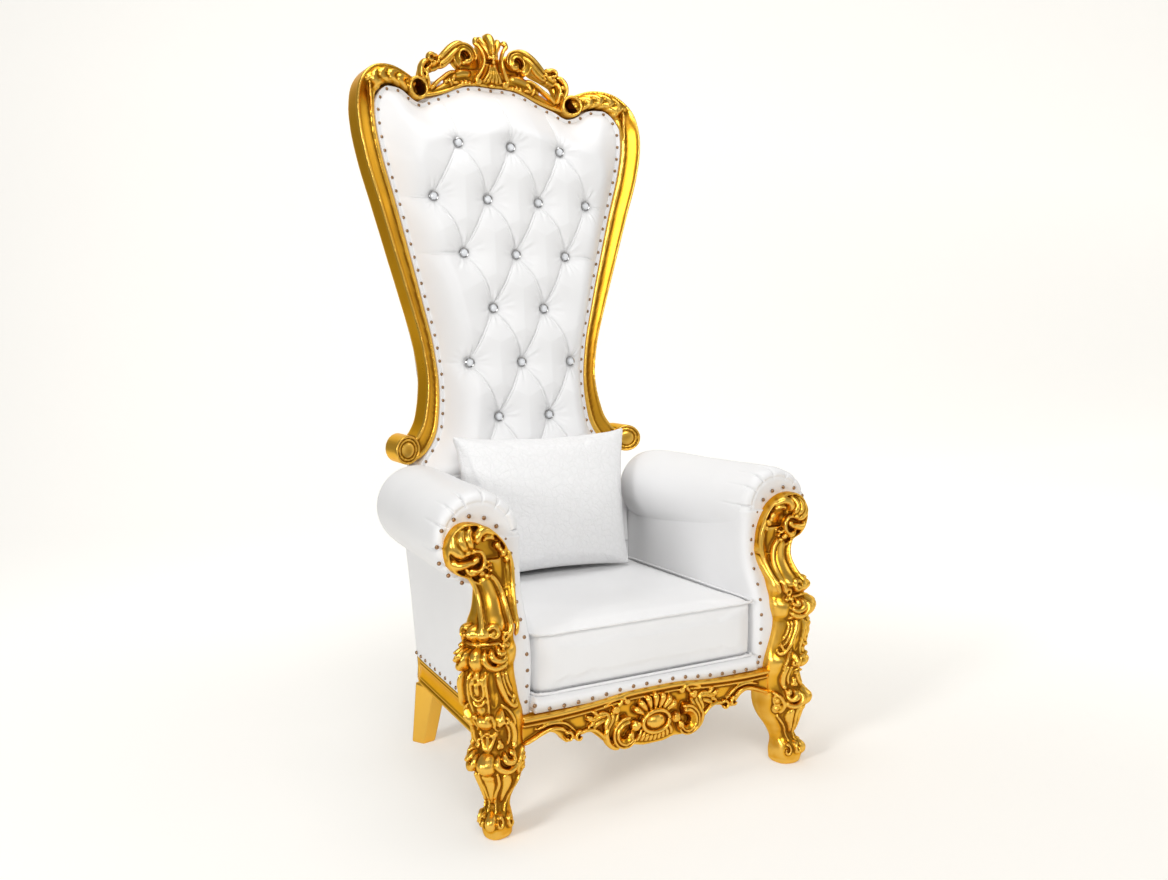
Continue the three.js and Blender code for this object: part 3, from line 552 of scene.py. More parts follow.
    # rounded strap under the opening, and small sprays on the rail's face
    one.append(roll(on_back, [(0.104, 1.712, 0.002, 0.0060, 0.014), (0.124, 1.704, 0.003, 0.0058, 0.014),
                              (0.148, 1.686, 0.004, 0.0056, 0.014), (0.172, 1.666, 0.004, 0.0058, 0.014),
                              (0.186, 1.650, 0.002, 0.0060, 0.012)], 36))
    for u, v0, turn, size in [(0.114, 1.690, 0.5, 1.1), (0.124, 1.680, -0.5, 0.9), (0.106, 1.680, 1.3, 0.8)]:
        one.append(bead(on_back, u, v0, 0.008, 0.0048 * size, 0.012 * size, 0.0065, turn))
    for u, v0 in [(0.086, 1.683), (0.075, 1.686), (0.064, 1.684)]:
        one.append(bead(on_back, u, v0, 0.007, 0.0046, 0.0062, 0.006))
    one.append(roll(on_back, [(0.056, 1.712, 0.0, 0.013, 0.010), (0.088, 1.708, 0.0, 0.014, 0.011),
                              (0.118, 1.694, 0.0, 0.010, 0.010), (0.142, 1.675, 0.0, 0.006, 0.009)], 26))
    return shapes + centre + both(one)


# ---- front posts -----------------------------------------------------------------------

# from the floor up: height, inner x, outer x, front y, rear y, mm
POST_LEVELS = np.array([
    (0, 352, 398, -20, 30), (4, 347, 404, -25, 34), (14, 345, 408, -28, 36), (32, 343, 411, -30, 36),
    (50, 346, 407, -26, 34), (62, 346, 398, -14, 34), (74, 342, 394, -10, 36), (90, 334, 398, -14, 42),
    (112, 320, 404, -20, 52), (132, 313, 412, -24, 62), (150, 311, 420, -30, 68), (168, 310, 421, -30, 68),
    (184, 311, 413, -22, 68), (214, 312, 410, -18, 68), (232, 313, 416, -22, 68), (254, 317, 426, -24, 62),
    (270, 321, 427, -16, 54), (300, 328, 433, -17, 52), (340, 335, 436, -18, 50), (352, 335, 432, -16, 50),
    (366, 332, 437, -21, 54), (386, 330, 438, -20, 56), (401, 332, 427, -10, 56), (410, 332, 424, -9, 57),
    (424, 331, 428, -12, 58), (440, 331, 424, -6, 62), (456, 328, 411, 10, 72), (482, 321, 399, 30, 86),
    (512, 317, 395, 40, 94), (560, 326, 404, 40, 96),
]) * 0.001
CORNER = -PI / 4          # the ornament is turned to the outer front corner
POST_ROUND = 0.058        # radius that turns a distance across the post into an angle


def post_form(z, turn):
    """Centre and reach of the post's section at a height: a rounded square, fuller at its corner."""
    inner, outer, front, rear = np.moveaxis(eased(POST_LEVELS[:, 0], POST_LEVELS[:, 1:],
                                                  np.clip(z, 0, 0.56)), -1, 0)
    c, s = np.cos(turn), np.sin(turn)
    square = (np.abs(c) ** 2.6 + np.abs(s) ** 2.6) ** (-1 / 2.6)
    corner = 1 - 0.1 * np.sin(2 * turn) * np.clip((0.26 - z) / 0.1, 0, 1)
    reach = square * corner
    return (inner + outer) / 2 + (outer - inner) / 2 * c * reach, \
           (front + rear) / 2 + (rear - front) / 2 * s * reach


def on_post(u, v, h):
    """Chart of a post: across from its outer front corner (+ towards the front), up, and outward."""
    u, v, h = np.broadcast_arrays(u, v, h)
    turn = CORNER - u / POST_ROUND
    x, y = post_form(v, turn)
    return np.stack([x + h * np.cos(turn), y + h * np.sin(turn), v], -1)


def on_neck(u, v, h):
    """Chart of the post's upper front: X, Z and forward of the face, which sits back at the neck."""
    y = read([(0.40, -0.008), (0.44, -0.002), (0.456, 0.014), (0.482, 0.032), (0.512, 0.042),
              (0.545, 0.042), (0.58, 0.038), (0.68, 0.036)], v)
    return np.stack(np.broadcast_arrays(u, y - h, v), -1)


VOLUTE = (0.392, 0.574)


def volute_outline():
    """The volute's edge: an oval arc at its outer end, then a shoulder down to the neck."""
    t = np.linspace(-1.4, 1.7, 9)
    arc = list(zip(0.4175 + 0.047 * np.cos(t), 0.583 + 0.055 * np.sin(t)))
    shoulder = [(0.379, 0.629), (0.354, 0.611), (0.335, 0.587), (0.325, 0.560), (0.320, 0.528),
                (0.319, 0.500)]
    foot = [(0.336, 0.496), (0.362, 0.500), (0.396, 0.512)]
    return arc + shoulder + foot + arc[:1]


# lobes that wind round the volute's eye, mm: x, z, forward, half width, half height
VOLUTE_LOBES = (
    [(453, 570, -2, 5, 8), (444, 556, 3, 9, 12), (428, 557, 5, 8, 12), (410, 563, 5, 5, 9)],
    [(426, 571, 4, 4, 9), (440, 580, 6, 10, 12), (450, 593, 3, 12, 12), (448, 610, -2, 9, 10),
     (438, 620, -5, 4, 7)],
    [(423, 583, 6, 4, 9), (432, 594, 9, 8, 12), (437, 608, 6, 9, 12), (432, 621, 0, 7, 10),
     (424, 628, -4, 3, 7)],
    [(413, 586, 7, 4, 9), (419, 599, 10, 7, 12), (422, 611, 8, 8, 12), (417, 622, 2, 7, 10),
     (408, 628, -3, 3, 7)],
    [(401, 594, 7, 4, 9), (404, 606, 10, 7, 12), (400, 617, 9, 9, 13), (388, 622, 6, 9, 12),
     (373, 618, 2, 7, 10), (361, 608, -2, 5, 8)],
    [(390, 598, 4, 3, 7), (385, 607, 7, 4, 9), (372, 607, 4, 5, 9), (361, 601, 0, 3, 7)],
)
# the neck's ribs, mm: x, z, forward; and their half widths
NECK_RIBS = (
    ([(340, 412, 4), (334, 440, 5), (326, 478, 6), (322, 518, 6), (324, 549, 4), (333, 578, 2)], 4.5),
    ([(342, 436, 3), (333, 476, 3), (330, 512, 3), (332, 542, 1), (339, 565, -2)], 3),
    ([(346, 438, 1), (339, 476, 1), (336, 512, 0), (338, 542, -3), (346, 566, -6)], 3),
    ([(357, 412, 6), (352, 430, 7), (348, 459, 7), (350, 490, 7), (360, 516, 6), (373, 531, 5)], 5.5),
    ([(419, 414, 4), (415, 431, 5), (406, 460, 6), (402, 490, 6), (408, 513, 5), (416, 529, 4)], 4.5),
    ([(407, 428, 3), (402, 448, 3), (396, 478, 3), (398, 503, 3), (406, 523, 2)], 3),
)


def volute_shapes():
    """The volute at the post's head: a deep smooth rim, a dark cove, and leaves that wind to an eye."""
    edge = curve([(x, z, 0) for x, z in volute_outline()], 140)[:-1, :2]
    out = edge - VOLUTE
    profile = [(1.0, -0.060), (1.0, -0.004), (0.994, 0.001), (0.975, 0.0040), (0.950, 0.0040), (0.925, 0.001),
               (0.90, -0.004), (0.86, -0.008), (0.7, -0.011), (0.4, -0.012), (0.03, -0.012)]
    grid = [np.stack([VOLUTE[0] + k * out[:, 0], 0.038 - h + 0 * out[:, 0], VOLUTE[1] + k * out[:, 1]], -1)
            for k, h in profile]
    shapes = [rings(np.stack(grid)), bead(flat_face, 0.433, 0.588, -0.008, 0.029, 0.037, 0.011)]
    for rows in VOLUTE_LOBES:
        shapes.append(roll(flat_face, np.array(rows) * 0.001, 36, 14, 0.16))
    for u, v, ru, rv, turn in [(0.356, 0.589, 0.008, 0.007, 0.7), (0.343, 0.572, 0.007, 0.009, 0.5),
                               (0.350, 0.580, 0.005, 0.005, 0.4), (0.336, 0.559, 0.005, 0.008, 0.2)]:
        shapes.append(bead(flat_face, u, v, 0.001, ru, rv, 0.011, turn))
    # the eye: an open loop of rounded cord, a boss at its start and a bar that runs into it
    shapes.append(roll(flat_face, [(0.4045 + 0.017 * math.cos(t), 0.5625 + 0.021 * math.sin(t), 0.007, 0.0047,
                                    0.010)
                                   for t in np.linspace(0.8, 5.45, 9)], 70, 12))
    for u, v, ru, rv, rh, turn in [(0.423, 0.581, 0.007, 0.007, 0.011, 0.0),
                                   (0.405, 0.565, 0.007, 0.0085, 0.010, 0.5),
                                   (0.416, 0.559, 0.010, 0.005, 0.010, 0.2)]:
        shapes.append(bead(flat_face, u, v, 0.007, ru, rv, rh, turn))
    shapes.append(roll(flat_face, [(0.426, 0.548, 0.001, 0.0035, 0.007), (0.415, 0.537, 0.003, 0.005, 0.009),
                                   (0.405, 0.536, 0.003, 0.0045, 0.009), (0.397, 0.542, 0.003, 0.003, 0.007)],
                       30))
    for u, v, r in [(0.391, 0.535, 0.008), (0.379, 0.529, 0.0065), (0.372, 0.540, 0.005),
                    (0.381, 0.547, 0.005), (0.372, 0.551, 0.004)]:
        shapes.append(bead(flat_face, u, v, 0.001, r, r * 0.85, 0.011, 0.4))
    return shapes


def flat_face(u, v, h):
    """Chart of the volute's face: X, Z and forward."""
    return np.stack(np.broadcast_arrays(u, 0.040 - h, v), -1)


def neck_shapes():
    """The neck: thin ribs up its inner edge, a broad rounded stem, a rib and small curl outside."""
    shapes = []
    for rows, wide in NECK_RIBS:
        line = np.array([(x, z, h, wide, wide * 1.4) for x, z, h in rows]) * 0.001
        shapes.append(roll(on_neck, line, 70, 12, 0.06))
    stem = [(0.383, 0.424, 0.001, 0.0215), (0.377, 0.450, 0.001, 0.0215), (0.373, 0.480, 0.001, 0.021),
            (0.378, 0.508, 0.001, 0.020), (0.389, 0.530, 0.000, 0.018)]
    shapes.append(leaf(on_neck, stem, 0, 0.0105, 0.012))
    return shapes


def post_shapes():
    """The carved post at the right: foot, leg, bulges and neck with their ornament, and the volute."""
    z = np.concatenate([np.linspace(0, 0.07, 24), np.linspace(0.074, 0.56, 150)])[:, None]
    turn = np.linspace(0, 2 * PI, 64, endpoint=False)[None]
    x, y = post_form(z, turn)
    shapes = [rings(np.stack([x, y, z + 0 * x], -1))]
    mid, one = [], []
    # ball foot: a round ball between two hooked scrolls
    mid.append(bead(on_post, 0, 0.041, -0.005, 0.0200, 0.0200, 0.0150))
    one.append(spiral(on_post, 0.030, 0.040, 0.000, 0.0130, 2.0, -6.0, 0.0050, 0.008, 1, 0.003, 0.25, 46,
                      1.2))
    one.append(spiral(on_post, 0.074, 0.038, 0.000, 0.0140, 1.2, 6.0, 0.0050, 0.008, 1, 0.003, 0.25, 46, 1.2))
    # ankle: a smooth tongue that narrows downwards, ridges that run down both sides of it
    mid.append(leaf(on_post, [(0, 0.138, 0.000, 0.0150), (0, 0.118, 0.001, 0.0135), (0, 0.096, 0.001, 0.0090),
                              (0, 0.072, 0.000, 0.0045)], 0, 0.0085, 0.006))
    mid.append(bead(on_post, 0, 0.133, 0.004, 0.0130, 0.0080, 0.007))
    one.append(roll(on_post, [(0.020, 0.142, 0.002, 0.0035, 0.006), (0.0205, 0.120, 0.002, 0.0042, 0.007),
                              (0.0135, 0.094, 0.001, 0.0040, 0.006), (0.012, 0.070, 0.001, 0.0035, 0.005),
                              (0.018, 0.056, 0.000, 0.003, 0.005)], 40))
    one.append(leaf(on_post, [(0.036, 0.138, 0.001, 0.008), (0.040, 0.120, 0.002, 0.0135),
                              (0.036, 0.098, 0.001, 0.0100), (0.030, 0.074, 0.000, 0.0040)], 0, 0.007, 0.006))
    one.append(roll(on_post, [(0.082, 0.126, 0.000, 0.0040, 0.006), (0.066, 0.104, 0.001, 0.0042, 0.007),
                              (0.056, 0.080, 0.001, 0.0038, 0.006), (0.052, 0.056, 0.000, 0.003, 0.005)], 40))
    # lower shell: a full smooth bulb and nested crescents that sweep under to the flank
    mid.append(bead(on_post, 0, 0.1615, -0.001, 0.0195, 0.0240, 0.0190))
    one.append(roll(on_post, [(0.0215, 0.180, 0.003, 0.0040, 0.008), (0.0245, 0.158, 0.005, 0.0062, 0.011),
                              (0.038, 0.147, 0.006, 0.0066, 0.011), (0.056, 0.151, 0.004, 0.0060, 0.010),
                              (0.066, 0.162, 0.001, 0.0040, 0.007)], 44, 12))
    one.append(roll(on_post, [(0.032, 0.184, 0.004, 0.0040, 0.008), (0.037, 0.170, 0.007, 0.0058, 0.011),
                              (0.050, 0.164, 0.006, 0.0058, 0.010), (0.062, 0.172, 0.002, 0.0040, 0.007)], 36,
                    12))
    one.append(roll(on_post, [(0.044, 0.187, 0.004, 0.0036, 0.007), (0.050, 0.180, 0.006, 0.0048, 0.009),
                              (0.060, 0.181, 0.003, 0.0036, 0.007)], 26, 10))
    one.append(bead(on_post, 0.055, 0.176, 0.005, 0.0060, 0.0048, 0.006))
    # big C on the flank with two ringed knobs in it
    one.append(roll(on_post, [(0.094, 0.182, 0.001, 0.0038, 0.007), (0.078, 0.174, 0.002, 0.0046, 0.008),
                              (0.0685, 0.158, 0.002, 0.0048, 0.009), (0.067, 0.140, 0.002, 0.0046, 0.008),
                              (0.074, 0.128, 0.001, 0.0038, 0.007)], 44))
    for v in (0.162, 0.142):
        one.append(bead(on_post, 0.0845, v, 0.001, 0.0070, 0.0070, 0.0090))
        one.append(spiral(on_post, 0.0845, v, 0.001, 0.0105, 0.2, 6.5, 0.0026, 0.006, 1, 0, 0.95))
    # trumpet of flutes over the bulb, with pearls at its mouth
    for u, wide in ((0.0, 0.0040), (0.0105, 0.0036)):
        rows = [(u * 0.4, 0.187, 0.004, wide * 0.8, 0.006), (u * 0.9, 0.202, 0.003, wide, 0.006),
                (u * 1.5, 0.218, 0.001, wide * 0.8, 0.005)]
        (one if u else mid).append(roll(on_post, rows, 24, 10))
    mid.append(bead(on_post, 0, 0.2225, 0.003, 0.0060, 0.0036, 0.006))
    one.append(bead(on_post, 0.0175, 0.2195, 0.002, 0.0042))
    one.append(bead(on_post, 0.0085, 0.2165, 0.003, 0.0034))
    for u, v in ((0.024, 0.204), (0.029, 0.195), (0.022, 0.194)):
        one.append(bead(on_post, u, v, 0.003, 0.0040, 0.0058, 0.006, 0.4))
    one.append(roll(on_post, [(0.040, 0.246, 0.001, 0.0030, 0.005), (0.0455, 0.228, 0.002, 0.0034, 0.006),
                              (0.0455, 0.208, 0.002, 0.0034, 0.006), (0.042, 0.194, 0.001, 0.0030, 0.005)],
                    34))
    one.append(leaf(on_post, [(0.054, 0.244, 0.000, 0.0050), (0.0585, 0.226, 0.001, 0.0085),
                              (0.060, 0.206, 0.002, 0.0085), (0.058, 0.190, 0.001, 0.0060)], 0, 0.007, 0.006))
    one.append(bead(on_post, 0.058, 0.192, 0.004, 0.0062, 0.0058, 0.007))
    # pear boss with a lobed scroll on each side
    mid.append(bead(on_post, 0, 0.2460, -0.001, 0.0165, 0.0165, 0.0160))
    one.append(bead(on_post, 0.0135, 0.2595, 0.005, 0.0052))
    one.append(leaf(on_post, [(0.026, 0.236, 0.001, 0.0060), (0.034, 0.247, 0.003, 0.0105),
                              (0.040, 0.260, 0.002, 0.0095), (0.044, 0.272, 0.000, 0.0040)], 1, 0.010, 0.006))
    one.append(spiral(on_post, 0.042, 0.249, 0.006, 0.0080, 0.8, -5.4, 0.0034, 0.007, 1, 0.003, 0.25))
    one.append(roll(on_post, [(0.046, 0.278, 0.001, 0.0028, 0.005), (0.056, 0.268, 0.002, 0.0034, 0.006),
                              (0.063, 0.252, 0.002, 0.0034, 0.006), (0.065, 0.232, 0.001, 0.0028, 0.005)],
                    34))
    one.append(roll(on_post, [(0.020, 0.262, 0.001, 0.0026, 0.005), (0.021, 0.246, 0.001, 0.0030, 0.006),
                              (0.0185, 0.232, 0.001, 0.0026, 0.005), (0.026, 0.226, 0.001, 0.0026, 0.005)],
                    24))
    # husk panel: a pearl and drops in a U-shaped rim that ends in a cup
    mid.append(bead(on_post, 0, 0.3445, 0.003, 0.0070))
    one.append(bead(on_post, 0.0058, 0.3320, 0.001, 0.0042, 0.0085, 0.007))
    mid.append(bead(on_post, 0, 0.3140, 0.000, 0.0066, 0.0150, 0.009))
    mid.append(roll(on_post, [(-0.0130, 0.344, 0.001, 0.0026, 0.006), (-0.0138, 0.320, 0.001, 0.0030, 0.007),
                              (-0.0115, 0.300, 0.001, 0.0030, 0.007), (0, 0.2915, 0.001, 0.0032, 0.007),
                              (0.0115, 0.300, 0.001, 0.0030, 0.007), (0.0138, 0.320, 0.001, 0.0030, 0.007),
                              (0.0130, 0.344, 0.001, 0.0026, 0.006)], 60))
    mid.append(roll(on_post, [(-0.0145, 0.292, 0.001, 0.0024, 0.005), (-0.008, 0.284, 0.003, 0.0032, 0.007),
                              (0, 0.2815, 0.004, 0.0034, 0.008), (0.008, 0.284, 0.003, 0.0032, 0.007),
                              (0.0145, 0.292, 0.001, 0.0024, 0.005)], 36))
    mid.append(bead(on_post, 0, 0.272, -0.001, 0.0120, 0.0095, 0.007))
    one.append(roll(on_post, [(0.0200, 0.350, 0.000, 0.0026, 0.005), (0.0205, 0.318, 0.001, 0.0028, 0.006),
                              (0.0195, 0.285, 0.001, 0.0028, 0.006), (0.0165, 0.262, 0.000, 0.0026, 0.005)],
                    40))
    # broad hollow flute, then a long leaf that flows down into a scroll
    one.append(leaf(on_post, [(0.0330, 0.352, -0.001, 0.0075), (0.0335, 0.322, -0.001, 0.0085),
                              (0.0325, 0.292, -0.001, 0.0075), (0.0300, 0.272, -0.001, 0.0050)], 0, -0.004,
                    0.006, 0, 0.0025))
    one.append(roll(on_post, [(0.0450, 0.354, 0.001, 0.0046, 0.007), (0.0485, 0.330, 0.003, 0.0062, 0.009),
                              (0.0535, 0.304, 0.003, 0.0060, 0.009), (0.0600, 0.284, 0.003, 0.0052, 0.009),
                              (0.0700, 0.272, 0.002, 0.0046, 0.008), (0.0820, 0.272, 0.001, 0.0040, 0.007),
                              (0.0860, 0.280, 0.001, 0.0034, 0.006)], 60, 12))
    one.append(roll(on_post, [(0.0560, 0.348, 0.001, 0.0030, 0.006), (0.0610, 0.356, 0.002, 0.0036, 0.007),
                              (0.0680, 0.350, 0.001, 0.0030, 0.006)], 26))
    one.append(roll(on_post, [(0.0590, 0.346, 0.001, 0.0026, 0.005), (0.0610, 0.322, 0.001, 0.0030, 0.006),
                              (0.0665, 0.300, 0.001, 0.0030, 0.006), (0.0740, 0.288, 0.001, 0.0026, 0.005)],
                    36))
    one.append(roll(on_post, [(0.0680, 0.344, 0.000, 0.0026, 0.005), (0.0710, 0.322, 0.001, 0.0030, 0.005),
                              (0.0780, 0.302, 0.000, 0.0026, 0.005)], 30))
    for u, v in ((0.0760, 0.286), (0.0800, 0.290), (0.0720, 0.281)):
        one.append(bead(on_post, u, v, 0.003, 0.0036, 0.0036, 0.005))
    # upper shell: tall smooth bulb, nested crescents under small curls
    mid.append(bead(on_post, 0, 0.3735, -0.001, 0.0155, 0.0260, 0.0190))
    one.append(roll(on_post, [(0.0175, 0.3950, 0.003, 0.0042, 0.009), (0.0200, 0.3720, 0.006, 0.0064, 0.012),
                              (0.0320, 0.3580, 0.007, 0.0070, 0.012), (0.0520, 0.3580, 0.005, 0.0066, 0.011),
                              (0.0680, 0.3680, 0.001, 0.0044, 0.008)], 50, 12))
    one.append(roll(on_post, [(0.0290, 0.3960, 0.005, 0.0042, 0.009), (0.0330, 0.3800, 0.008, 0.0060, 0.011),
                              (0.0480, 0.3715, 0.007, 0.0062, 0.011), (0.0660, 0.3790, 0.002, 0.0042, 0.008)],
                    40, 12))
    one.append(roll(on_post, [(0.0410, 0.3980, 0.005, 0.0038, 0.008), (0.0470, 0.3870, 0.007, 0.0052, 0.010),
                              (0.0620, 0.3880, 0.003, 0.0040, 0.008)], 30, 12))
    one.append(spiral(on_post, 0.0620, 0.4130, 0.002, 0.0095, 1.0, 6.2, 0.0040, 0.009, 1, 0.003, 0.30))
    one.append(bead(on_post, 0.0560, 0.3990, 0.006, 0.0062, 0.0052, 0.007))
    one.append(bead(on_post, 0.0680, 0.3985, 0.003, 0.0060, 0.0050, 0.007))
    # bright ring and smooth bowl with a curl at each side
    mid.append(roll(on_post, [(u, 0.4030, 0.001, 0.0034, 0.006) for u in np.linspace(-0.050, 0.050, 9)], 60,
                    10, 0.02))
    one.append(bead(on_post, 0.010, 0.4240, -0.002, 0.0190, 0.0175, 0.0180))
    one.append(spiral(on_post, 0.0330, 0.4250, 0.003, 0.0150, 2.4, -5.8, 0.0058, 0.011, 1, 0.004, 0.25, 50,
                      1.2))
    one.append(bead(on_post, 0.0335, 0.4255, 0.006, 0.0050))
    shapes += neck_shapes() + volute_shapes()
    flanks = []
    for points, quads, tris in one:
        flanks.append((points, quads, tris))
        flanks.append(corner_mirrored((points, quads, tris)))
    return shapes + mid + flanks


def corner_mirrored(shape):
    """The mirror image of ornament in the upright plane through the post's outer front corner."""
    points, quads, tris = shape
    z = points[:, 2]
    inner, outer, front, rear = np.moveaxis(eased(POST_LEVELS[:, 0], POST_LEVELS[:, 1:],
                                                  np.clip(z, 0, 0.56)), -1, 0)
    cx, cy, rx, ry = (inner + outer) / 2, (front + rear) / 2, (outer - inner) / 2, (rear - front) / 2
    a, b = (points[:, 0] - cx) / rx, (points[:, 1] - cy) / ry
    return np.stack([cx - b * rx, cy - a * ry, z], -1), quads[:, ::-1], tris[:, ::-1]


# ---- front apron -----------------------------------------------------------------------

APRON_TOP = [(0, 0.247), (0.07, 0.246), (0.136, 0.239), (0.233, 0.2338), (0.322, 0.2338)]
APRON_LOW = [(0, 0.119), (0.03, 0.120), (0.052, 0.125), (0.085, 0.124), (0.112, 0.136), (0.138, 0.158),
             (0.16, 0.174), (0.18, 0.172), (0.2, 0.167), (0.22, 0.164), (0.232, 0.178), (0.254, 0.192),
             (0.282, 0.186), (0.322, 0.173)]


def on_apron(u, v, h):
    """Chart of the apron: X, Z and forward of its face."""
    return np.stack(np.broadcast_arrays(u, -h, v), -1)


def apron_shapes():
    """The carved front rail: board, two beads, oval boss, fans, scrolls, sprays and arches."""
    xs = np.linspace(-0.322, 0.322, 181)
    top, low = read(APRON_TOP, np.abs(xs)), read(APRON_LOW, np.abs(xs))
    v = np.linspace(0, 1, 15)[:, None]
    shapes = [plate(on_apron(xs + 0 * v, low + (top - low) * v, 0.000 - 0.002 * np.sin(PI * v)),
                    on_apron(xs + 0 * v, low + (top - low) * v, -0.025 + 0 * v))]
    for drop, wide in [(0.006, 0.0046), (0.0175, 0.0024)]:
        rows = [(x, float(read(APRON_TOP, abs(x))) - drop, 0.001, wide, wide * 1.3)
                for x in np.linspace(-0.322, 0.322, 33)]
        shapes.append(roll(on_apron, rows, 140, 10, 0.004))
    mid, one = [], []
    # oval boss with a ring
    mid.append(bead(on_apron, 0, 0.172, 0.002, 0.027, 0.0190, 0.019))
    ring = np.linspace(0, 2 * PI, 25)
    mid.append(roll(on_apron, [(0.0345 * math.cos(t), 0.172 + 0.0240 * math.sin(t), 0.009, 0.0048, 0.008)
                               for t in ring], 90, 10, 0.004))
    mid.append(bead(on_apron, 0, 0.171, -0.002, 0.034, 0.026, 0.012))
    # fan of leaves over the boss and fringe of gadroons under it
    for k in range(-3, 4):
        lean = 0.36 * k
        c, s = math.cos(lean), math.sin(lean)
        rows = [(0.028 * s, 0.181 + 0.014 * c, 0.002, 0.003, 0.005),
                (0.042 * s, 0.183 + 0.030 * c, 0.006, 0.0058, 0.009),
                (0.056 * s, 0.184 + 0.044 * c, 0.006, 0.0074, 0.010),
                (0.064 * s, 0.184 + 0.052 * c, 0.000, 0.005, 0.007)]
        mid.append(roll(on_apron, rows, 26))
    for k in range(-4, 5):
        x = 0.0095 * k
        rows = [(x * 0.9, 0.150 + 0.0006 * k * k, 0.002, 0.003, 0.006),
                (x * 1.08, 0.139 + 0.0005 * k * k, 0.004, 0.0046, 0.008),
                (x * 1.2, 0.126 + 0.0004 * k * k, 0.000, 0.0036, 0.006)]
        mid.append(roll(on_apron, rows, 20, 8))
    # big scroll on each side, with a bulb by the boss and a deep eye
    one.append(spiral(on_apron, 0.079, 0.157, 0.001, 0.0295, 1.9, -5.4, 0.0140, 0.018, 1, 0.006, 0.42))
    one.append(spiral(on_apron, 0.079, 0.157, 0.014, 0.0385, 1.9, -4.6, 0.0034, 0.006, 1, 0.004, 0.62))
    one.append(spiral(on_apron, 0.079, 0.157, 0.016, 0.0290, 1.9, -4.6, 0.0036, 0.006, 1, 0.004, 0.58))
    one.append(roll(on_apron, [(0.112, 0.186, 0.000, 0.004, 0.008), (0.124, 0.170, 0.003, 0.0062, 0.012),
                               (0.121, 0.148, 0.003, 0.0066, 0.012), (0.106, 0.132, 0.002, 0.0062, 0.011),
                               (0.088, 0.125, 0.000, 0.0046, 0.009)], 40, 12))
    one.append(bead(on_apron, 0.053, 0.171, 0.008, 0.0125, 0.012, 0.012))
    one.append(spiral(on_apron, 0.053, 0.172, 0.014, 0.008, 2.0, 5.4, 0.003, 0.006, 1, 0.003, 0.3))
    # plume outside the scroll, with a knob at its top
    for k, reach in enumerate((0.0, 0.007, 0.014)):
        one.append(roll(on_apron, [(0.118 + reach * 0.2, 0.150 + reach, 0.002, 0.003, 0.005),
                                   (0.112 + reach, 0.174 + reach * 0.5, 0.004, 0.005, 0.008),
                                   (0.098 + reach * 1.5, 0.198 + reach * 0.2, 0.004, 0.005, 0.008),
                                   (0.094 + reach * 2.2, 0.214, 0.000, 0.0035, 0.005)], 30))
    one.append(bead(on_apron, 0.101, 0.213, 0.005, 0.0105, 0.0095, 0.009))
    one.append(spiral(on_apron, 0.101, 0.213, 0.009, 0.0085, 0.5, 5.6, 0.0028, 0.005, 1, 0.002, 0.3))
    one.append(leaf(on_apron, [(0.112, 0.204, 0.002, 0.005), (0.134, 0.208, 0.004, 0.008),
                               (0.154, 0.202, 0.003, 0.007), (0.172, 0.204, 0.001, 0.003)], 3, 0.007, 0.006,
                    2))
    one.append(leaf(on_apron, [(0.118, 0.198, 0.001, 0.004), (0.138, 0.192, 0.003, 0.006),
                               (0.156, 0.184, 0.002, 0.005)],
                    3, 0.006, 0.006, 2))
    for u, v, turn, size in [(0.150, 0.214, -0.9, 1), (0.164, 0.208, -1.3, 0.9), (0.160, 0.192, -2.0, 0.9),
                             (0.088, 0.226, 0.6, 1)]:
        one.append(bead(on_apron, u, v, 0.004, 0.0042 * size, 0.010 * size, 0.006, turn))
    # rib along the lower edge into two small facing scrolls, then the arch to the post
    one.append(roll(on_apron, [(0.116, 0.142, 0.002, 0.004, 0.007), (0.132, 0.162, 0.003, 0.0042, 0.008),
                               (0.152, 0.178, 0.003, 0.0042, 0.008), (0.172, 0.182, 0.003, 0.004, 0.008),
                               (0.188, 0.177, 0.003, 0.004, 0.008)], 44))
    one.append(spiral(on_apron, 0.190, 0.172, 0.003, 0.0115, 2.2, -5.6, 0.0046, 0.009, 1, 0.004, 0.3))
    one.append(spiral(on_apron, 0.216, 0.176, 0.003, 0.0120, 0.9, 5.6, 0.0046, 0.009, 1, 0.004, 0.3))
    one.append(roll(on_apron, [(0.218, 0.187, 0.003, 0.004, 0.008), (0.232, 0.197, 0.003, 0.0045, 0.009),
                               (0.252, 0.201, 0.003, 0.0045, 0.009), (0.276, 0.196, 0.003, 0.0045, 0.009),
                               (0.300, 0.186, 0.002, 0.0045, 0.009), (0.322, 0.178, 0.002, 0.0045, 0.009)],
                    60))
    one.append(roll(on_apron, [(0.196, 0.184, 0.001, 0.003, 0.004), (0.222, 0.206, 0.002, 0.003, 0.005),
                               (0.252, 0.212, 0.002, 0.003, 0.005), (0.290, 0.204, 0.001, 0.003, 0.004)], 40))
    # long sprays under the top beads
    one.append(roll(on_apron, [(0.066, 0.222, 0.002, 0.003, 0.006), (0.082, 0.236, 0.003, 0.0036, 0.007),
                               (0.104, 0.234, 0.002, 0.003, 0.005), (0.128, 0.224, 0.001, 0.0025, 0.004)],
                    34))
    one.append(spiral(on_apron, 0.070, 0.228, 0.003, 0.007, 0.3, -5.4, 0.003, 0.006, 1, 0.002, 0.3))
    return shapes + mid + both(one)


# ---- rails and rear legs ------------------------------------------------------------------


RAIL_LOW, RAIL_TOP, RAIL_HIGH = 0.165, 0.234, 0.0688   # foot, top and height of the rails
RAIL_BACK = 0.026                                      # from the body's side in to the rail's back


def side_half(y):
    """Half width over the side rails."""
    return 0.386 - 0.0285 * np.clip(y / 0.530, 0, 1)


def rear_line(x):
    """Y of the rear of the body, which bows out between the corners."""
    return 0.530 + 0.092 * (1 - (x / 0.352) ** 2)


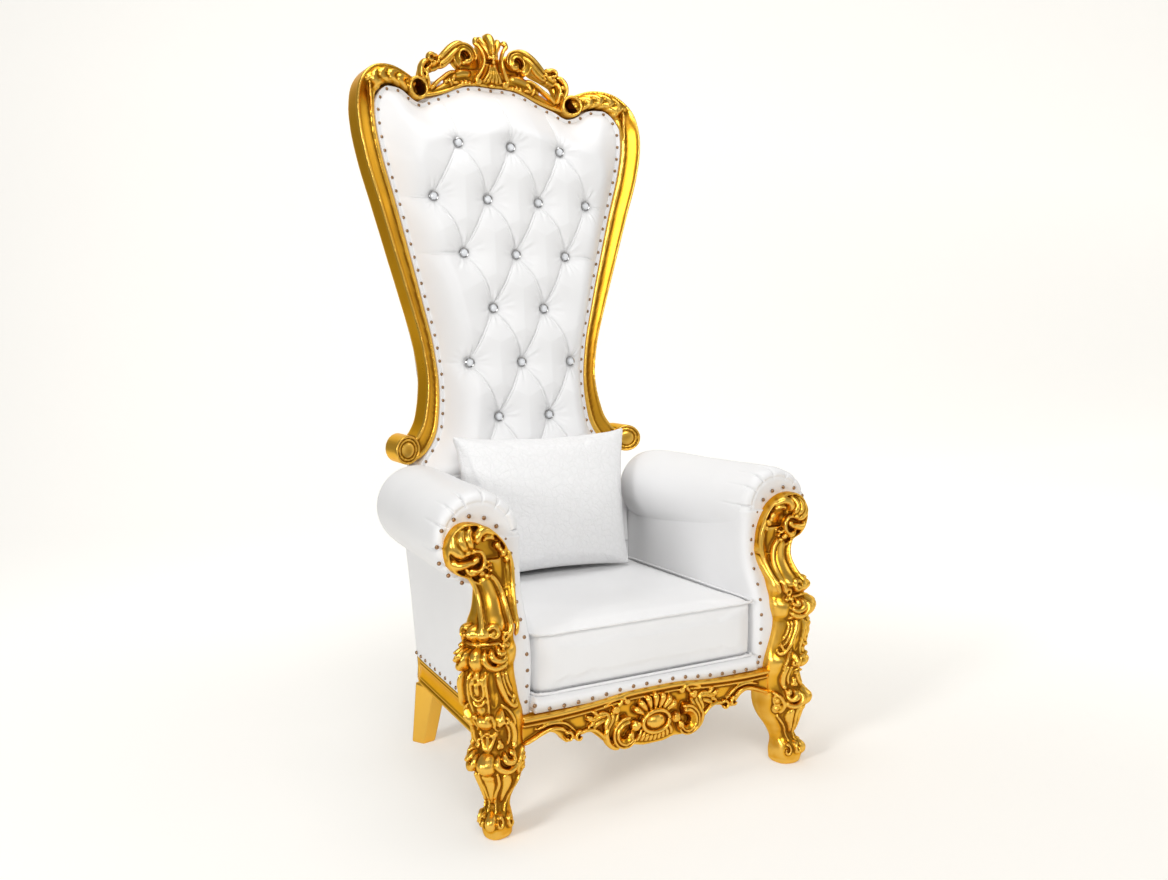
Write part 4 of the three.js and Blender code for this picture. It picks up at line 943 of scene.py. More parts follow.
def rail_section():
    """Section of a rail: outward of its back and up from its foot; a bead near each edge and a cove."""
    up = np.linspace(0, 1, 61)
    out = 0.0205 + 0.0035 * np.exp(-((up - 0.10) / 0.06) ** 2) + 0.0035 * np.exp(-((up - 0.90) / 0.06) ** 2)
    out += 0.0018 * np.exp(-((up - 0.24) / 0.03) ** 2) + 0.0018 * np.exp(-((up - 0.76) / 0.03) ** 2)
    out -= 0.0025 * np.sin(PI * np.clip((up - 0.28) / 0.44, 0, 1))
    out[[0, -1]] -= 0.003
    face = np.stack([out, up * RAIL_HIGH], -1)
    return np.concatenate([[[0.0, 0.0]], face, [[0.0, RAIL_HIGH]]])


def side_rail_shapes():
    """The rail under an arm, carried back and round the rear corner."""
    y = np.concatenate([np.linspace(0.052, 0.46, 60), np.linspace(0.465, 0.530, 30)])
    section = rail_section()
    bend = np.where(y > 0.48, ((y - 0.48) / 0.05) ** 2 * 0.012, 0)
    x = side_half(y)[:, None] - RAIL_BACK + section[None, :, 0] - bend[:, None]
    return [rings(np.stack([x, y[:, None] + 0 * x, RAIL_LOW + section[None, :, 1] + 0 * x], -1))]


def rear_rail_shapes():
    """The plainer rail round the bowed rear, with the same section."""
    x = np.linspace(-0.346, 0.346, 120)
    section = rail_section()
    y = rear_line(x)[:, None] - RAIL_BACK + section[None, :, 0]
    return [rings(np.stack([x[:, None] + 0 * y, y, RAIL_LOW + section[None, :, 1] + 0 * y], -1))]


def rear_leg_shapes():
    """A four-sided leg, turned to the corner, that tapers and rakes back; its arrises are eased."""
    foot = np.array([(0.336, 0.5230), (0.3545, 0.554), (0.320, 0.562), (0.303, 0.530)])
    head = np.array([(0.340, 0.4440), (0.3600, 0.508), (0.318, 0.534), (0.301, 0.454)])
    high = 0.1646
    z = np.concatenate([[0, 0.0015], np.linspace(0.004, high, 30)])
    t = (z / high)[:, None, None]
    corner = foot + (head - foot) * t ** 0.94
    centre = corner.mean(1, keepdims=True)
    corner = centre + (corner - centre) * np.where(z < 0.003, 0.96, 1.0)[:, None, None]
    before, after = np.roll(corner, 1, 1) - corner, np.roll(corner, -1, 1) - corner
    ring = np.stack([corner + 0.07 * before, corner + 0.014 * (before + after), corner + 0.07 * after], 2)
    ring = ring.reshape(len(z), 12, 2)
    return [rings(np.concatenate([ring, np.repeat(z[:, None, None], 12, 1)], -1))]


# ---- tufted back ---------------------------------------------------------------------------

PITCH, STEP, TOP_ROW = 0.148, 0.141, 1.503
ROW_REACH = [1, 1.5, 1, 0.5, 1, 0.5, 1, 0.5]
PAD_FOOT = 0.447
PAD_SHOULDER = 1.555      # above it the face narrows under the crest
PAD_TOP = [(0, 1.6785), (0.045, 1.6785), (0.072, 1.6745), (0.10, 1.6655), (0.13, 1.650), (0.16, 1.637),
           (0.185, 1.627), (0.205, 1.614), (0.215, 1.611), (0.235, 1.614), (0.255, 1.625), (0.27, 1.634),
           (0.30, 1.639), (0.325, 1.634), (0.345, 1.612), (0.362, 1.575)]


def button_places():
    """(x, z) of the buttons, row by row from the top, right to left as seen from the chair."""
    return [[(k * PITCH, TOP_ROW - i * STEP) for k in np.arange(-reach, reach + 0.5)]
            for i, reach in enumerate(ROW_REACH)]


def pad_half(z):
    """Half width of the tufted face: the inner edge of the frame, straight below its foot."""
    s, line, way, width = stile_track(400)
    x = line[:, 0] - width / 2 * way[:, 1]
    up = line[:, 1] + width / 2 * way[:, 0]
    keep = (s > 0.05) & (s < 0.85) & (up < 1.565)
    order = np.argsort(up[keep])
    table_z = np.concatenate([[0.3, 0.66, 0.684], up[keep][order]])
    table_x = np.concatenate([[0.285, 0.285, 0.284], x[keep][order]])
    return np.interp(z, table_z, table_x) - 0.001


def pad_border():
    """Half outline of the tufted face (x, z), from its foot up the frame to the middle of the crest."""
    z = np.linspace(0.60, 1.575, 200)
    x = np.linspace(pad_half(PAD_SHOULDER), 0, 90)
    return np.concatenate([np.stack([pad_half(np.minimum(z, PAD_SHOULDER)), z], -1),
                           np.stack([x, read(PAD_TOP, x)], -1)[2:]])


def to_border(x, z):
    """Distance from each (x, z) to the half outline, softened where two sides are equally near.

    The soft distance is (sum of d^-7 ds / 1.0667)^(-1/6), which is exact beside a straight edge.
    """
    line = pad_border()
    a, step = line[:-1], np.diff(line, axis=0)
    size = (step ** 2).sum(1) + 1e-12
    px, pz = np.abs(x).ravel(), z.ravel()
    best = np.full(px.shape, 81.0)
    total = np.zeros(px.shape)
    for (ax, az), (bx, bz), n in zip(a, step, size):
        t = np.clip(((px - ax) * bx + (pz - az) * bz) / n, 0, 1)
        best = np.minimum(best, (px - ax - t * bx) ** 2 + (pz - az - t * bz) ** 2)
        total += math.sqrt(n) * ((px - ax - bx / 2) ** 2 + (pz - az - bz / 2) ** 2 + 1e-6) ** -3.5
    exact = np.sqrt(best)
    soft = (total / 1.0667) ** (-1 / 6)
    share = ramp(exact, 0.008, 0.030)
    return (exact * (1 - share) + soft * share).reshape(x.shape)


def to_pleat(x, z, a, b, bow):
    """Distance from (x, z) to the arc from a to b, which rises `bow` above its chord at the middle."""
    bx, bz = b[0] - a[0], b[1] - a[1]
    long = math.hypot(bx, bz)
    nx, nz = (-bz / long, bx / long) if bx > 0 else (bz / long, -bx / long)
    along = ((x - a[0]) * bx + (z - a[1]) * bz) / long
    t = np.clip(along / long, 0, 1)
    off = (x - a[0]) * nx + (z - a[1]) * nz - bow * 4 * t * (1 - t)
    return np.hypot(off, along - t * long)


def pleat_lines():
    """Every pleat of the tufting: its two ends and how far it bows up."""
    rows = button_places()
    pleats = []
    for above, below in zip(rows, rows[1:]):
        for a in above:
            pleats += [(a, b, 0.007) for b in below if abs(abs(a[0] - b[0]) - PITCH / 2) < 0.01]
    for a in rows[0]:
        pleats.append((a, (a[0] * 1.02 - 0.004, 1.70), 0.0))
    for i in (1, 2, 4, 6):
        for a in (rows[i][0], rows[i][-1]):
            pleats.append((a, (math.copysign(0.42, a[0]), a[1] - 0.022), 0.004))
    return pleats


def tufting(x, z):
    """Forward swell of the face, in metres, and how puckered it is.

    The swell is 31 mm * (1 - e^-(r / 38 mm)) from the nearest button's rim at distance r, plus
    9 mm * (1 - e^-(d / 17 mm)) and 4.2 mm * (1 - e^-(d / 2.8 mm)) from the nearest pleat at
    distance d, which fade in away from the button. Puckers are waves round each button.
    """
    r = np.full(x.shape, 9.0)
    pucker = np.zeros(x.shape)
    for bx, bz in (b for row in button_places() for b in row):
        near = np.hypot(x - bx, z - bz)
        turn = np.arctan2(z - bz, x - bx)
        rough = (np.sin(turn * 9 + bx * 90) + 0.8 * np.sin(turn * 14 + bz * 70)
                 + 0.6 * np.sin(turn * 19 + bx * 31))
        upward = 0.45 + 0.55 * np.clip(np.sin(turn + 0.3 * np.sin(bx * 50)), -0.6, 1) ** 2
        pucker += rough * upward * np.exp(-((near - 0.028) / 0.019) ** 2)
        r = np.minimum(r, near)
    d = np.full(x.shape, 9.0)
    for a, b, bow in pleat_lines():
        d = np.minimum(d, to_pleat(x, z, a, b, bow))
    r = np.maximum(r - 0.011, 0)
    away = 1 - np.exp(-r / 0.010)
    swell = 0.031 * (1 - np.exp(-r / 0.038)) + away * (0.009 * (1 - np.exp(-d / 0.017))
                                                       + 0.0042 * (1 - np.exp(-d / 0.0028)))
    return swell, pucker * away


def pad_level(x, z):
    """Y of the tufted face: a flat band 11 mm wide at the border, then a roll out to the tufting."""
    rim = to_border(x, z)
    swell, pucker = tufting(x, z)
    plain = 0.632 + 0.104 * (z - 0.8) + 0.12 * x * x + 1.1 * np.clip(z - 1.515, 0, 1) ** 2
    level = back_face(x, z) - 0.002
    rise = np.clip((rim - 0.011) / (0.072 + 0.105 * ramp(z, 1.44, 1.60)), 0, 1)
    lift = 0.24 * np.sqrt(np.clip(1 - (1 - rise) ** 2, 0, 1)) + 0.76 * np.sin(rise * PI / 2)
    return level + (plain - swell - level) * lift - 0.0016 * pucker * lift


def pad_shape():
    """The tufted face, a sheet over x and z, closed behind by a plain fan."""
    across = np.linspace(-1, 1, 371)
    rows = np.concatenate([np.linspace(PAD_FOOT, PAD_SHOULDER, 430),
                           PAD_SHOULDER + np.linspace(0, 1, 50)[1:] * 0.1])
    t, z = np.meshgrid(across, rows)
    x = t * pad_half(np.minimum(z, PAD_SHOULDER))
    top = read(PAD_TOP, np.abs(x))
    z = np.where(z > PAD_SHOULDER, PAD_SHOULDER + (z - PAD_SHOULDER) / 0.1 * (top - PAD_SHOULDER), z)
    front = np.stack([x, pad_level(x, z), z], -1)
    n, m = x.shape
    index = np.arange(n * m).reshape(n, m)
    border = np.concatenate([index[0, :-1], index[:-1, -1], index[-1, :0:-1], index[:0:-1, 0]])
    flat = front.reshape(-1, 3)
    rear = flat[border].copy()
    rear[:, 1] = np.maximum(back_face(rear[:, 0], rear[:, 2]) + 0.055, rear[:, 1] + 0.01)
    centre = [[0, back_face(0.0, 1.1) + 0.055, 1.1]]
    count = len(border)
    ring = n * m + np.arange(count)
    quads = np.concatenate([
        np.stack([index[:-1, :-1], index[:-1, 1:], index[1:, 1:], index[1:, :-1]], -1).reshape(-1, 4),
        np.stack([np.roll(border, -1), border, ring, np.roll(ring, -1)], -1)])
    fan = np.stack([np.roll(ring, -1), ring, np.full(count, n * m + count)], -1)
    return faced_out((np.concatenate([flat, rear, centre]), quads, fan))


def pleat_cords():
    """The folded edge of the hide along every pleat: a slim cord that tapers into the buttons."""
    shapes = []
    t = np.linspace(0, 1, 30)
    for a, b, bow in pleat_lines():
        long = math.hypot(b[0] - a[0], b[1] - a[1])
        nx, nz = (-(b[1] - a[1]) / long, (b[0] - a[0]) / long)
        if b[0] < a[0]:
            nx, nz = -nx, -nz
        beside = bow * 4 * t * (1 - t) - 0.0030              # on the lower side of the crease
        x = a[0] + (b[0] - a[0]) * t + nx * beside
        z = a[1] + (b[1] - a[1]) * t + nz * beside
        start, end = 0.016 / long, 1 - 0.016 / long
        if abs(b[0]) > 0.37 or b[1] > 1.6:                   # a pleat that runs out fades before the border
            inside = ((np.abs(x) < pad_half(np.minimum(z, PAD_SHOULDER)) - 0.03)
                      & (z < read(PAD_TOP, np.abs(x)) - 0.02))
            end = t[inside].max() if inside.any() else 0.0
        if end - start < 0.1:
            continue
        at = np.linspace(start, end, 30)
        px, pz = np.interp(at, t, x), np.interp(at, t, z)
        slim = 0.0026 * np.sin(PI * np.clip((at - start) / (end - start), 0.03, 0.97)) ** 0.45
        py = pad_level(px[None], pz[None])[0] - 0.0002
        rows = list(zip(px, pz, -py, slim, slim * 1.1))
        shapes.append(roll(on_plane, rows, 40, 8, 0.1))
    return shapes


def on_plane(u, v, h):
    """Chart of an upright plane: X, Z and forward from Y = 0."""
    return np.stack(np.broadcast_arrays(u, -h, v), -1)


def evenly(line, gap):
    """Points of a line, `gap` apart."""
    s = np.concatenate([[0], np.cumsum(np.linalg.norm(np.diff(line, axis=0), axis=1))])
    at = np.linspace(0, s[-1], max(2, int(round(s[-1] / gap)) + 1))
    return np.stack([np.interp(at, s, line[:, k]) for k in range(line.shape[1])], -1)


def back_nails(gap):
    """Nail places and directions on the band round the tufted face."""
    line = pad_border()
    line = line[line[:, 1] > 0.69]
    way = np.gradient(line, axis=0)
    way /= np.linalg.norm(way, axis=1, keepdims=True)
    inner = line + 0.0075 * np.stack([-way[:, 1], way[:, 0]], -1)
    half = evenly(inner, gap)
    x = np.concatenate([half[:, 0], -half[-2::-1, 0]])
    z = np.concatenate([half[:, 1], half[-2::-1, 1]])
    points = np.stack([x, back_face(x, z) - 0.002, z], -1)
    return points, np.stack([-1.2 * x, -np.ones_like(x), 0.13 + 0 * x], -1)


def cover_shape():
    """The plain padded cloth over the rear, from the rail up to the crest, fuller in the middle."""
    table = np.array([(0.236, 0.318), (0.690, 0.292), (0.760, 0.262), (0.822, 0.250), (0.885, 0.242),
                      (0.970, 0.250), (1.10, 0.281), (1.345, 0.348), (1.462, 0.381), (1.54, 0.395),
                      (1.59, 0.392), (1.64, 0.368), (1.672, 0.325), (1.69, 0.25), (1.70, 0.12)])
    z = np.linspace(0.2362, 1.6995, 180)[:, None]
    half = np.interp(z, table[:, 0], table[:, 1])
    t = np.sin(np.linspace(-1, 1, 81) * PI / 2)[None]
    x = t * half
    low = rear_line(x) + 0.008
    high = back_face(x, np.maximum(z, FRAME_FOOT)) + FRAME_DEEP
    at_foot = back_face(x, FRAME_FOOT) + FRAME_DEEP
    climb = np.clip((z - RAIL_TOP) / (FRAME_FOOT - RAIL_TOP), 0, 1)
    y = np.where(z > FRAME_FOOT, high, low + (at_foot - low) * climb + 0.010 * np.sin(PI * climb)) + 0.010
    edge = (np.sqrt(np.clip(1 - t ** 8, 0, 1))
            * np.sqrt(np.clip(1 - (2 * (z - 0.2362) / 1.4633 - 1) ** 24, 0, 1)))
    rear = y + 0.004 + (0.009 + 0.0045 * (1 - t * t)) * edge
    filled = 0.568 + (y - 0.568) * ramp(climb, 0.45, 1.0)
    return plate(np.stack([x, rear, z + 0 * x], -1), np.stack([x, np.minimum(y, filled), z + 0 * x], -1))


# ---- arms and seat ---------------------------------------------------------------------------


ROLL_X, ROLL_REAR_X, ROLL_Z, ROLL_RADIUS = 0.386, 0.341, 0.601, 0.098
ARM_FRONT = [(0.234, 0.015), (0.392, 0.015), (0.440, 0.034), (0.480, 0.052), (0.52, 0.058), (0.60, 0.058)]
ARM_PLEATS = [(-1.18, 1.0), (-0.42, 0.9), (0.12, 1.0), (0.62, 0.6), (1.02, 1.0), (1.45, 0.7), (1.95, 1.0),
              (2.32, 0.6), (2.75, 0.9), (3.3, 0.8), (3.75, 0.7), (4.15, 0.8)]


def roll_shape():
    """The thick roll of an arm: a tube whose front turns in to a puckered border round the volute.

    Each station along it has a place y and a share of the full radius. Pleats are narrow
    grooves across the front border at fixed angles about the tube; between them it swells.
    """
    stations = [(0.0660, 0.02), (0.0640, 0.30), (0.0625, 0.50), (0.0615, 0.62), (0.0605, 0.70),
                (0.0610, 0.76), (0.0590, 0.80), (0.0590, 0.84), (0.0610, 0.89), (0.0660, 0.935),
                (0.0740, 0.968), (0.0850, 0.988), (0.100, 0.998), (0.130, 1.004), (0.30, 1.012), (0.48, 1.02),
                (0.52, 1.0), (0.545, 0.95), (0.560, 0.86), (0.567, 0.72), (0.570, 0.40), (0.5705, 0.02)]
    count = 900
    fine = curve([(y, ROLL_RADIUS * r, 0) for y, r in stations], count)
    number = np.arange(count)
    # rings lie close together over the front border and wide apart along the tube
    fine = fine[((fine[:, 0] < 0.105) & (number % 3 == 0)) | (number % 14 == 0) | (number == count - 1)]
    y, radius = fine[:, 0], fine[:, 1]
    a = np.linspace(0, 2 * PI, 440, endpoint=False)[None]
    along = np.clip((y - 0.062) / 0.506, 0, 1)
    share = radius / ROLL_RADIUS
    # pleats: strongest where the border turns, gone on the tube and at the nail band
    front = (np.exp(-((share - 0.87) / 0.11) ** 2) * (y < 0.13)
             + 0.6 * np.exp(-((y - 0.080) / 0.012) ** 2) * (y > 0.066))
    dent = np.zeros((1, a.shape[1]))
    for at, deep in ARM_PLEATS:
        gap = (a - at + PI) % (2 * PI) - PI
        dent += deep * (1.0 * np.exp(-(gap / 0.026) ** 2) + 0.45 * np.exp(-np.abs(gap) / 0.09))
    push = -0.0062 * np.clip(front, 0, 1)[:, None] * dent
    r = radius[:, None] + push * 0.75
    yy = y[:, None] - push * 0.8 * (share[:, None] < 0.97)
    x = (ROLL_X - (ROLL_X - ROLL_REAR_X) * along)[:, None] - r * np.cos(a)
    z = ROLL_Z + r * np.sin(a) * (1 - 0.03 * np.sin(PI * along))[:, None]
    return rings(np.stack([x, yy + 0 * x, z], -1))


def wall_shape():
    """The upright padded wall under the roll, with softly rounded arrises and a slightly full face."""
    z = np.linspace(0.2345, 0.60, 90)
    front = read(ARM_FRONT, z)
    lean = 0.022 * np.clip((z - 0.4) / 0.3, 0, 1)
    flare = 0.026 * np.clip((z - 0.24) / 0.32, 0, 1)
    side = lambda at: side_half(at) - 0.002
    fixed = lambda x, y: np.stack([x + 0 * z, y + 0 * z], -1)
    loop = [fixed(0.289, 0.30), fixed(0.289, 0.16), fixed(0.289, front + 0.040), fixed(0.2895, front + 0.016),
            fixed(0.293, front + 0.005), fixed(0.302, front), fixed(0.318, front),
            fixed(side(front) - 0.022, front), fixed(side(front) - 0.007, front + 0.003),
            fixed(side(front) - 0.0005, front + 0.014), fixed(side(0.10) + 0.001, 0.10),
            fixed(side(0.20) + 0.002, 0.20), fixed(side(0.32) + 0.002, 0.32),
            fixed(side(0.42) + 0.002 + flare * 0.3, 0.42), fixed(side(0.47) + 0.001 + flare * 0.6, 0.47),
            fixed(side(0.50) - 0.001 + flare, 0.503 + lean * 0.6), fixed(0.3470 + flare, 0.532 + lean * 0.5),
            fixed(0.332 + flare * 0.6, 0.556 + lean * 0.3), fixed(0.305, 0.570 + lean * 0.2),
            fixed(0.291, 0.570 + lean), fixed(0.289, 0.54), fixed(0.289, 0.42)]
    loop = np.stack(loop, 1)
    count = 150
    closed = np.concatenate([loop, loop[:, :1]], 1)
    s = np.concatenate([[0], np.cumsum(np.linalg.norm(np.diff(closed[30], axis=0), axis=1))])
    at = np.linspace(0, s[-1], count, endpoint=False)
    ring = np.stack([eased(s, row, at) for row in closed])
    return rings(np.concatenate([ring, np.repeat(z[:, None, None], count, 1)], -1))


def arm_shape():
    """The right arm: its roll and its wall."""
    return joined([roll_shape(), wall_shape()])


def arm_nails(gap):
    """Nails down both sides of the post and round the volute, on the arm's front."""
    inner = curve([(0.3045, 0.262, 0), (0.3035, 0.32, 0), (0.305, 0.38, 0), (0.308, 0.43, 0),
                   (0.3095, 0.50, 0), (0.3115, 0.548, 0), (0.320, 0.580, 0), (0.337, 0.612, 0),
                   (0.364, 0.638, 0), (0.402, 0.6485, 0), (0.436, 0.646, 0), (0.462, 0.629, 0),
                   (0.4745, 0.602, 0), (0.4745, 0.570, 0), (0.464, 0.543, 0), (0.444, 0.527, 0),
                   (0.424, 0.515, 0)], 300)[:, :2]
    places = evenly(inner, gap)
    x, z = places.T
    y = read(ARM_FRONT, z) + 0.0005
    low = z < 0.50
    points = np.stack([x, np.where(low, y, np.interp(z, [0.50, 0.54], [0.0575, 0.0600])), z], -1)
    outward = np.stack([np.where(low, -0.25, 0.0), -np.ones_like(x), 0 * x], -1)
    outer = evenly(curve([(0.0, 0.500, 0), (0.0, 0.44, 0), (0.0, 0.40, 0), (0.0, 0.30, 0), (0, 0.262, 0)],
                         100)[:, :2], gap)[:, 1]
    y = read(ARM_FRONT, outer) + 0.014
    side = np.stack([side_half(y) - 0.0015, y, outer], -1)
    outward_side = np.stack([1 + 0 * y, -0.35 + 0 * y, 0 * y], -1)
    return np.concatenate([points, side]), np.concatenate([outward, outward_side])


def rail_nails(gap):
    """Nails along the seat's front over the apron and along the side rail's top edge."""
    x = np.linspace(-0.290, 0.290, int(0.58 / gap) + 1)
    z = read(APRON_TOP, np.abs(x)) + 0.0085 + 0.012 * np.clip((np.abs(x) - 0.25) / 0.04, 0, 1) ** 2
    front = np.stack([x, 0 * x + 0.0015, z], -1)
    y = np.linspace(0.075, 0.50, int(0.425 / gap) + 1)
    side = np.stack([side_half(y) + 0.0005, y, 0 * y + 0.2425], -1)
    way = np.stack([1 + 0 * y, 0 * y, 0 * y], -1)
    return (np.concatenate([front, side, side * [-1, 1, 1]]),
            np.concatenate([np.stack([0 * x, -1 + 0 * x, 0.1 + 0 * x], -1), way, way * [-1, 1, 1]]))


def deck_shape():
    """The upholstered platform under the cushion, its front edge over the carved rail."""
    x = np.linspace(-0.2895, 0.2895, 90)
    v = np.linspace(0, 1, 9)[:, None]
    top = np.stack([x + 0 * v, 0.002 + (0.574 + 0 * x) * v, 0.2682 + 0 * x * v], -1)
    return plate(top, top - [0, 0, 0.031])


def swollen(shape, name, pressure, cap, voxel=0.0055):
    """A pad puffed out by cloth under pressure: at most `cap` from where each point starts."""
    obj = bpy.data.objects.new(name, new_mesh(name, skin([shape], voxel, 2)))
    bpy.context.scene.collection.objects.link(obj)
    start = shape_of(obj.data)
    cloth = obj.modifiers.new("puff", "CLOTH")
    cloth.settings.quality = 6
    cloth.settings.mass = 0.25
    cloth.settings.use_pressure = True
    cloth.settings.uniform_pressure_force = pressure
    cloth.settings.effector_weights.gravity = 0
    cloth.settings.tension_stiffness = 25
    cloth.settings.compression_stiffness = 12
    cloth.settings.shear_stiffness = 8
    cloth.settings.bending_stiffness = 1.2
    cloth.collision_settings.use_collision = False
    cloth.point_cache.frame_start, cloth.point_cache.frame_end = 1, 20
    scene = bpy.context.scene
    for number in range(1, 21):
        scene.frame_set(number)
    evaluated = obj.evaluated_get(bpy.context.evaluated_depsgraph_get())
    points = shape_of(evaluated.data)[0]
    scene.frame_set(1)
    bpy.data.objects.remove(obj)
    move = points - start[0]
    far = np.linalg.norm(move, axis=1, keepdims=True)
    return start[0] + move * np.minimum(1, cap / (far + 1e-9)), start[1], start[2]


def box_pad(low, high, corner, edge, crown, count=61):
    """A stuffed box: rounded corners in plan, rolled edges, a crowned top and nearly flat underside."""
    t = np.linspace(0, 2 * PI, 4 * count, endpoint=False)[None]
    c, s = np.cos(t), np.sin(t)
    power = 2 / corner
    square_x, square_y = np.sign(c) * np.abs(c) ** power, np.sign(s) * np.abs(s) ** power
    p = np.linspace(0.04, PI - 0.04, 41)[:, None]
    power = 2 / edge
    reach, up = np.sin(p) ** power, np.sign(np.cos(p)) * np.abs(np.cos(p)) ** power
    mid, half = (np.array(low) + high) / 2, (np.array(high) - low) / 2
    x, y = reach * square_x, reach * square_y
    rise = crown * (1 - x * x) * (1 - y * y) * np.where(up > 0, 1, 0.1)
    return rings(np.stack([mid[0] + half[0] * x, mid[1] + half[1] * y,
                           mid[2] + half[2] * up + rise * np.sign(up)], -1))


CUSHION_LOW, CUSHION_HIGH = (-0.2865, 0.009, 0.2640), (0.2865, 0.586, 0.4040)


def cushion_shape():
    """The loose seat cushion: box form that swells between its welted edges."""
    low, high = np.array(CUSHION_LOW) + [0.002, 0.002, 0.001], np.array(CUSHION_HIGH) - [0.002, 0.002, 0.002]
    shape = box_pad(low, high, 26, 15, 0.007)
    points, quads, tris = swollen(shape, "cushion form", 2.0, 0.003)
    points[:, 2] = np.maximum(points[:, 2], 0.2665)
    return relaxed((points, quads, tris), 1)


def welt_shapes():
    """Cords sewn round the cushion's upper and lower edges."""
    t = np.linspace(0, 2 * PI, 480, endpoint=False)
    c, s = np.cos(t), np.sin(t)
    mid = (np.array(CUSHION_LOW) + CUSHION_HIGH) / 2
    half = (np.array(CUSHION_HIGH) - CUSHION_LOW) / 2
    x = mid[0] + (half[0] + 0.0002) * np.sign(c) * np.abs(c) ** (2 / 26)
    y = mid[1] + (half[1] + 0.0010) * np.sign(s) * np.abs(s) ** (2 / 26)
    wave = 0.0006 * np.sin(t * 9 + 1) + 0.0004 * np.sin(t * 23)
    return [piping(np.stack([x, y, CUSHION_HIGH[2] - 0.0065 + wave], -1), 0.0030),
            piping(np.stack([x, y, CUSHION_LOW[2] + 0.0075 + wave], -1), 0.0034)]


PILLOW_AT = (0.004, 0.492, 0.584)
PILLOW_LEAN = 0.25
CUSHION_CROWN = 0.4145      # height of the cushion's top under the pillow


def pillow_placed(x, y, z):
    """The pillow's own axes (across, through, up) leaned against the back."""
    c, s = math.cos(PILLOW_LEAN), math.sin(PILLOW_LEAN)
    return np.stack([PILLOW_AT[0] + x, PILLOW_AT[1] + y * c + z * s, PILLOW_AT[2] + z * c - y * s], -1)


def pillow_shape():
    """A knife-edged pillow: corners drawn out and gathered, sides drawn in, swollen by its filling."""
    t = np.linspace(-1, 1, 90)
    u, w = np.meshgrid(t, t, indexing="ij")
    drawn = (1 - 0.065 * np.where(np.abs(u) > np.abs(w), 1 - w ** 2, 1 - u ** 2)
             * np.maximum(np.abs(u), np.abs(w)) ** 3)
    puff = ((1 - u ** 2 * 0.99) * (1 - w ** 2 * 0.99)) ** 0.42
    x, z = u * drawn * (0.252 - 0.012 * (1 - w) / 2) - 0.024 * (1 - w) / 2, w * drawn * 0.187
    thick = 0.0022 + 0.058 * puff
    points, quads, tris = swollen(plate(pillow_placed(x, -thick, z), pillow_placed(x, thick, z)),
                                  "pillow form", 4.0, 0.010, 0.005)
    below = np.maximum(CUSHION_CROWN - points[:, 2], 0)      # what hangs lower is squashed onto the cushion
    points[:, 2] += 0.8 * below
    return relaxed((points, quads, tris), 1)


def piping(path, radius):
    """A welt: a round cord carried along a closed path."""
    path = np.asarray(path, float)
    way = np.roll(path, -1, 0) - np.roll(path, 1, 0)
    way /= np.linalg.norm(way, axis=1, keepdims=True)
    side = np.cross(way, [0, 0, 1.0])
    side /= np.linalg.norm(side, axis=1, keepdims=True) + 1e-9
    over = np.cross(side, way)
    a = np.linspace(0, 2 * PI, 8, endpoint=False)
    ring = path[:, None] + radius * (np.cos(a)[None, :, None] * side[:, None]
                                     + np.sin(a)[None, :, None] * over[:, None])
    n, m = ring.shape[:2]
    k, b = np.meshgrid(np.arange(n), np.arange(m), indexing="ij")
    quads = np.stack([k * m + b, k * m + (b + 1) % m, (k + 1) % n * m + (b + 1) % m, (k + 1) % n * m + b],
                     -1).reshape(-1, 4)
    return faced_out((ring.reshape(-1, 3), quads, np.zeros((0, 3), int)))


# ---- buttons and nails -----------------------------------------------------------------------


def button_shapes(x, y, z):
    """A turned metal rim and a faceted crystal in it, facing forward at (x, y, z)."""
    a = np.linspace(0, 2 * PI, 28, endpoint=False)[None]
    rim = np.array([(0.0085, 0.006), (0.0125, 0.004), (0.0132, 0.0005), (0.0128, -0.002), (0.0112, -0.0036),
                    (0.0098, -0.003), (0.0094, -0.001)])
    turned = rings(np.stack([x + rim[:, :1] * np.cos(a), y + rim[:, 1:] + 0 * a, z + rim[:, :1] * np.sin(a)],
                            -1))
    a = np.linspace(0, 2 * PI, 12, endpoint=False)[None]
    skew = PI / 12
    stone = np.array([(0.0092, 0.001, 0), (0.0096, -0.002, 0), (0.0078, -0.0052, 1), (0.0048, -0.0076, 0)])
    facets = rings(np.stack([x + stone[:, :1] * np.cos(a + skew * stone[:, 2:]), y + stone[:, 1:2] + 0 * a,
                             z + stone[:, :1] * np.sin(a + skew * stone[:, 2:])], -1))
    return turned, facets


def nail_shapes(points, outward, radius=0.0046, high=0.0030):
    """Domed nail heads at points, each facing its own outward direction."""
    points, outward = np.asarray(points, float), np.asarray(outward, float)
    outward = outward / np.linalg.norm(outward, axis=1, keepdims=True)
    side = np.cross(outward, [0.05, 0.02, 1.0])
    side /= np.linalg.norm(side, axis=1, keepdims=True)
    over = np.cross(side, outward)
    p = np.array([(1.0, -0.5), (1.0, 0.05), (0.82, 0.55), (0.45, 0.9), (0.12, 1.0)])
    a = np.linspace(0, 2 * PI, 8, endpoint=False)
    ring = (points[:, None, None] + radius * p[:, 0, None, None]
            * (np.cos(a)[:, None] * side[:, None, None] + np.sin(a)[:, None] * over[:, None, None])
            + high * p[:, 1, None, None] * outward[:, None, None])
    return joined([rings(one) for one in ring])


# ---- finishes ----------------------------------------------------------------------------------


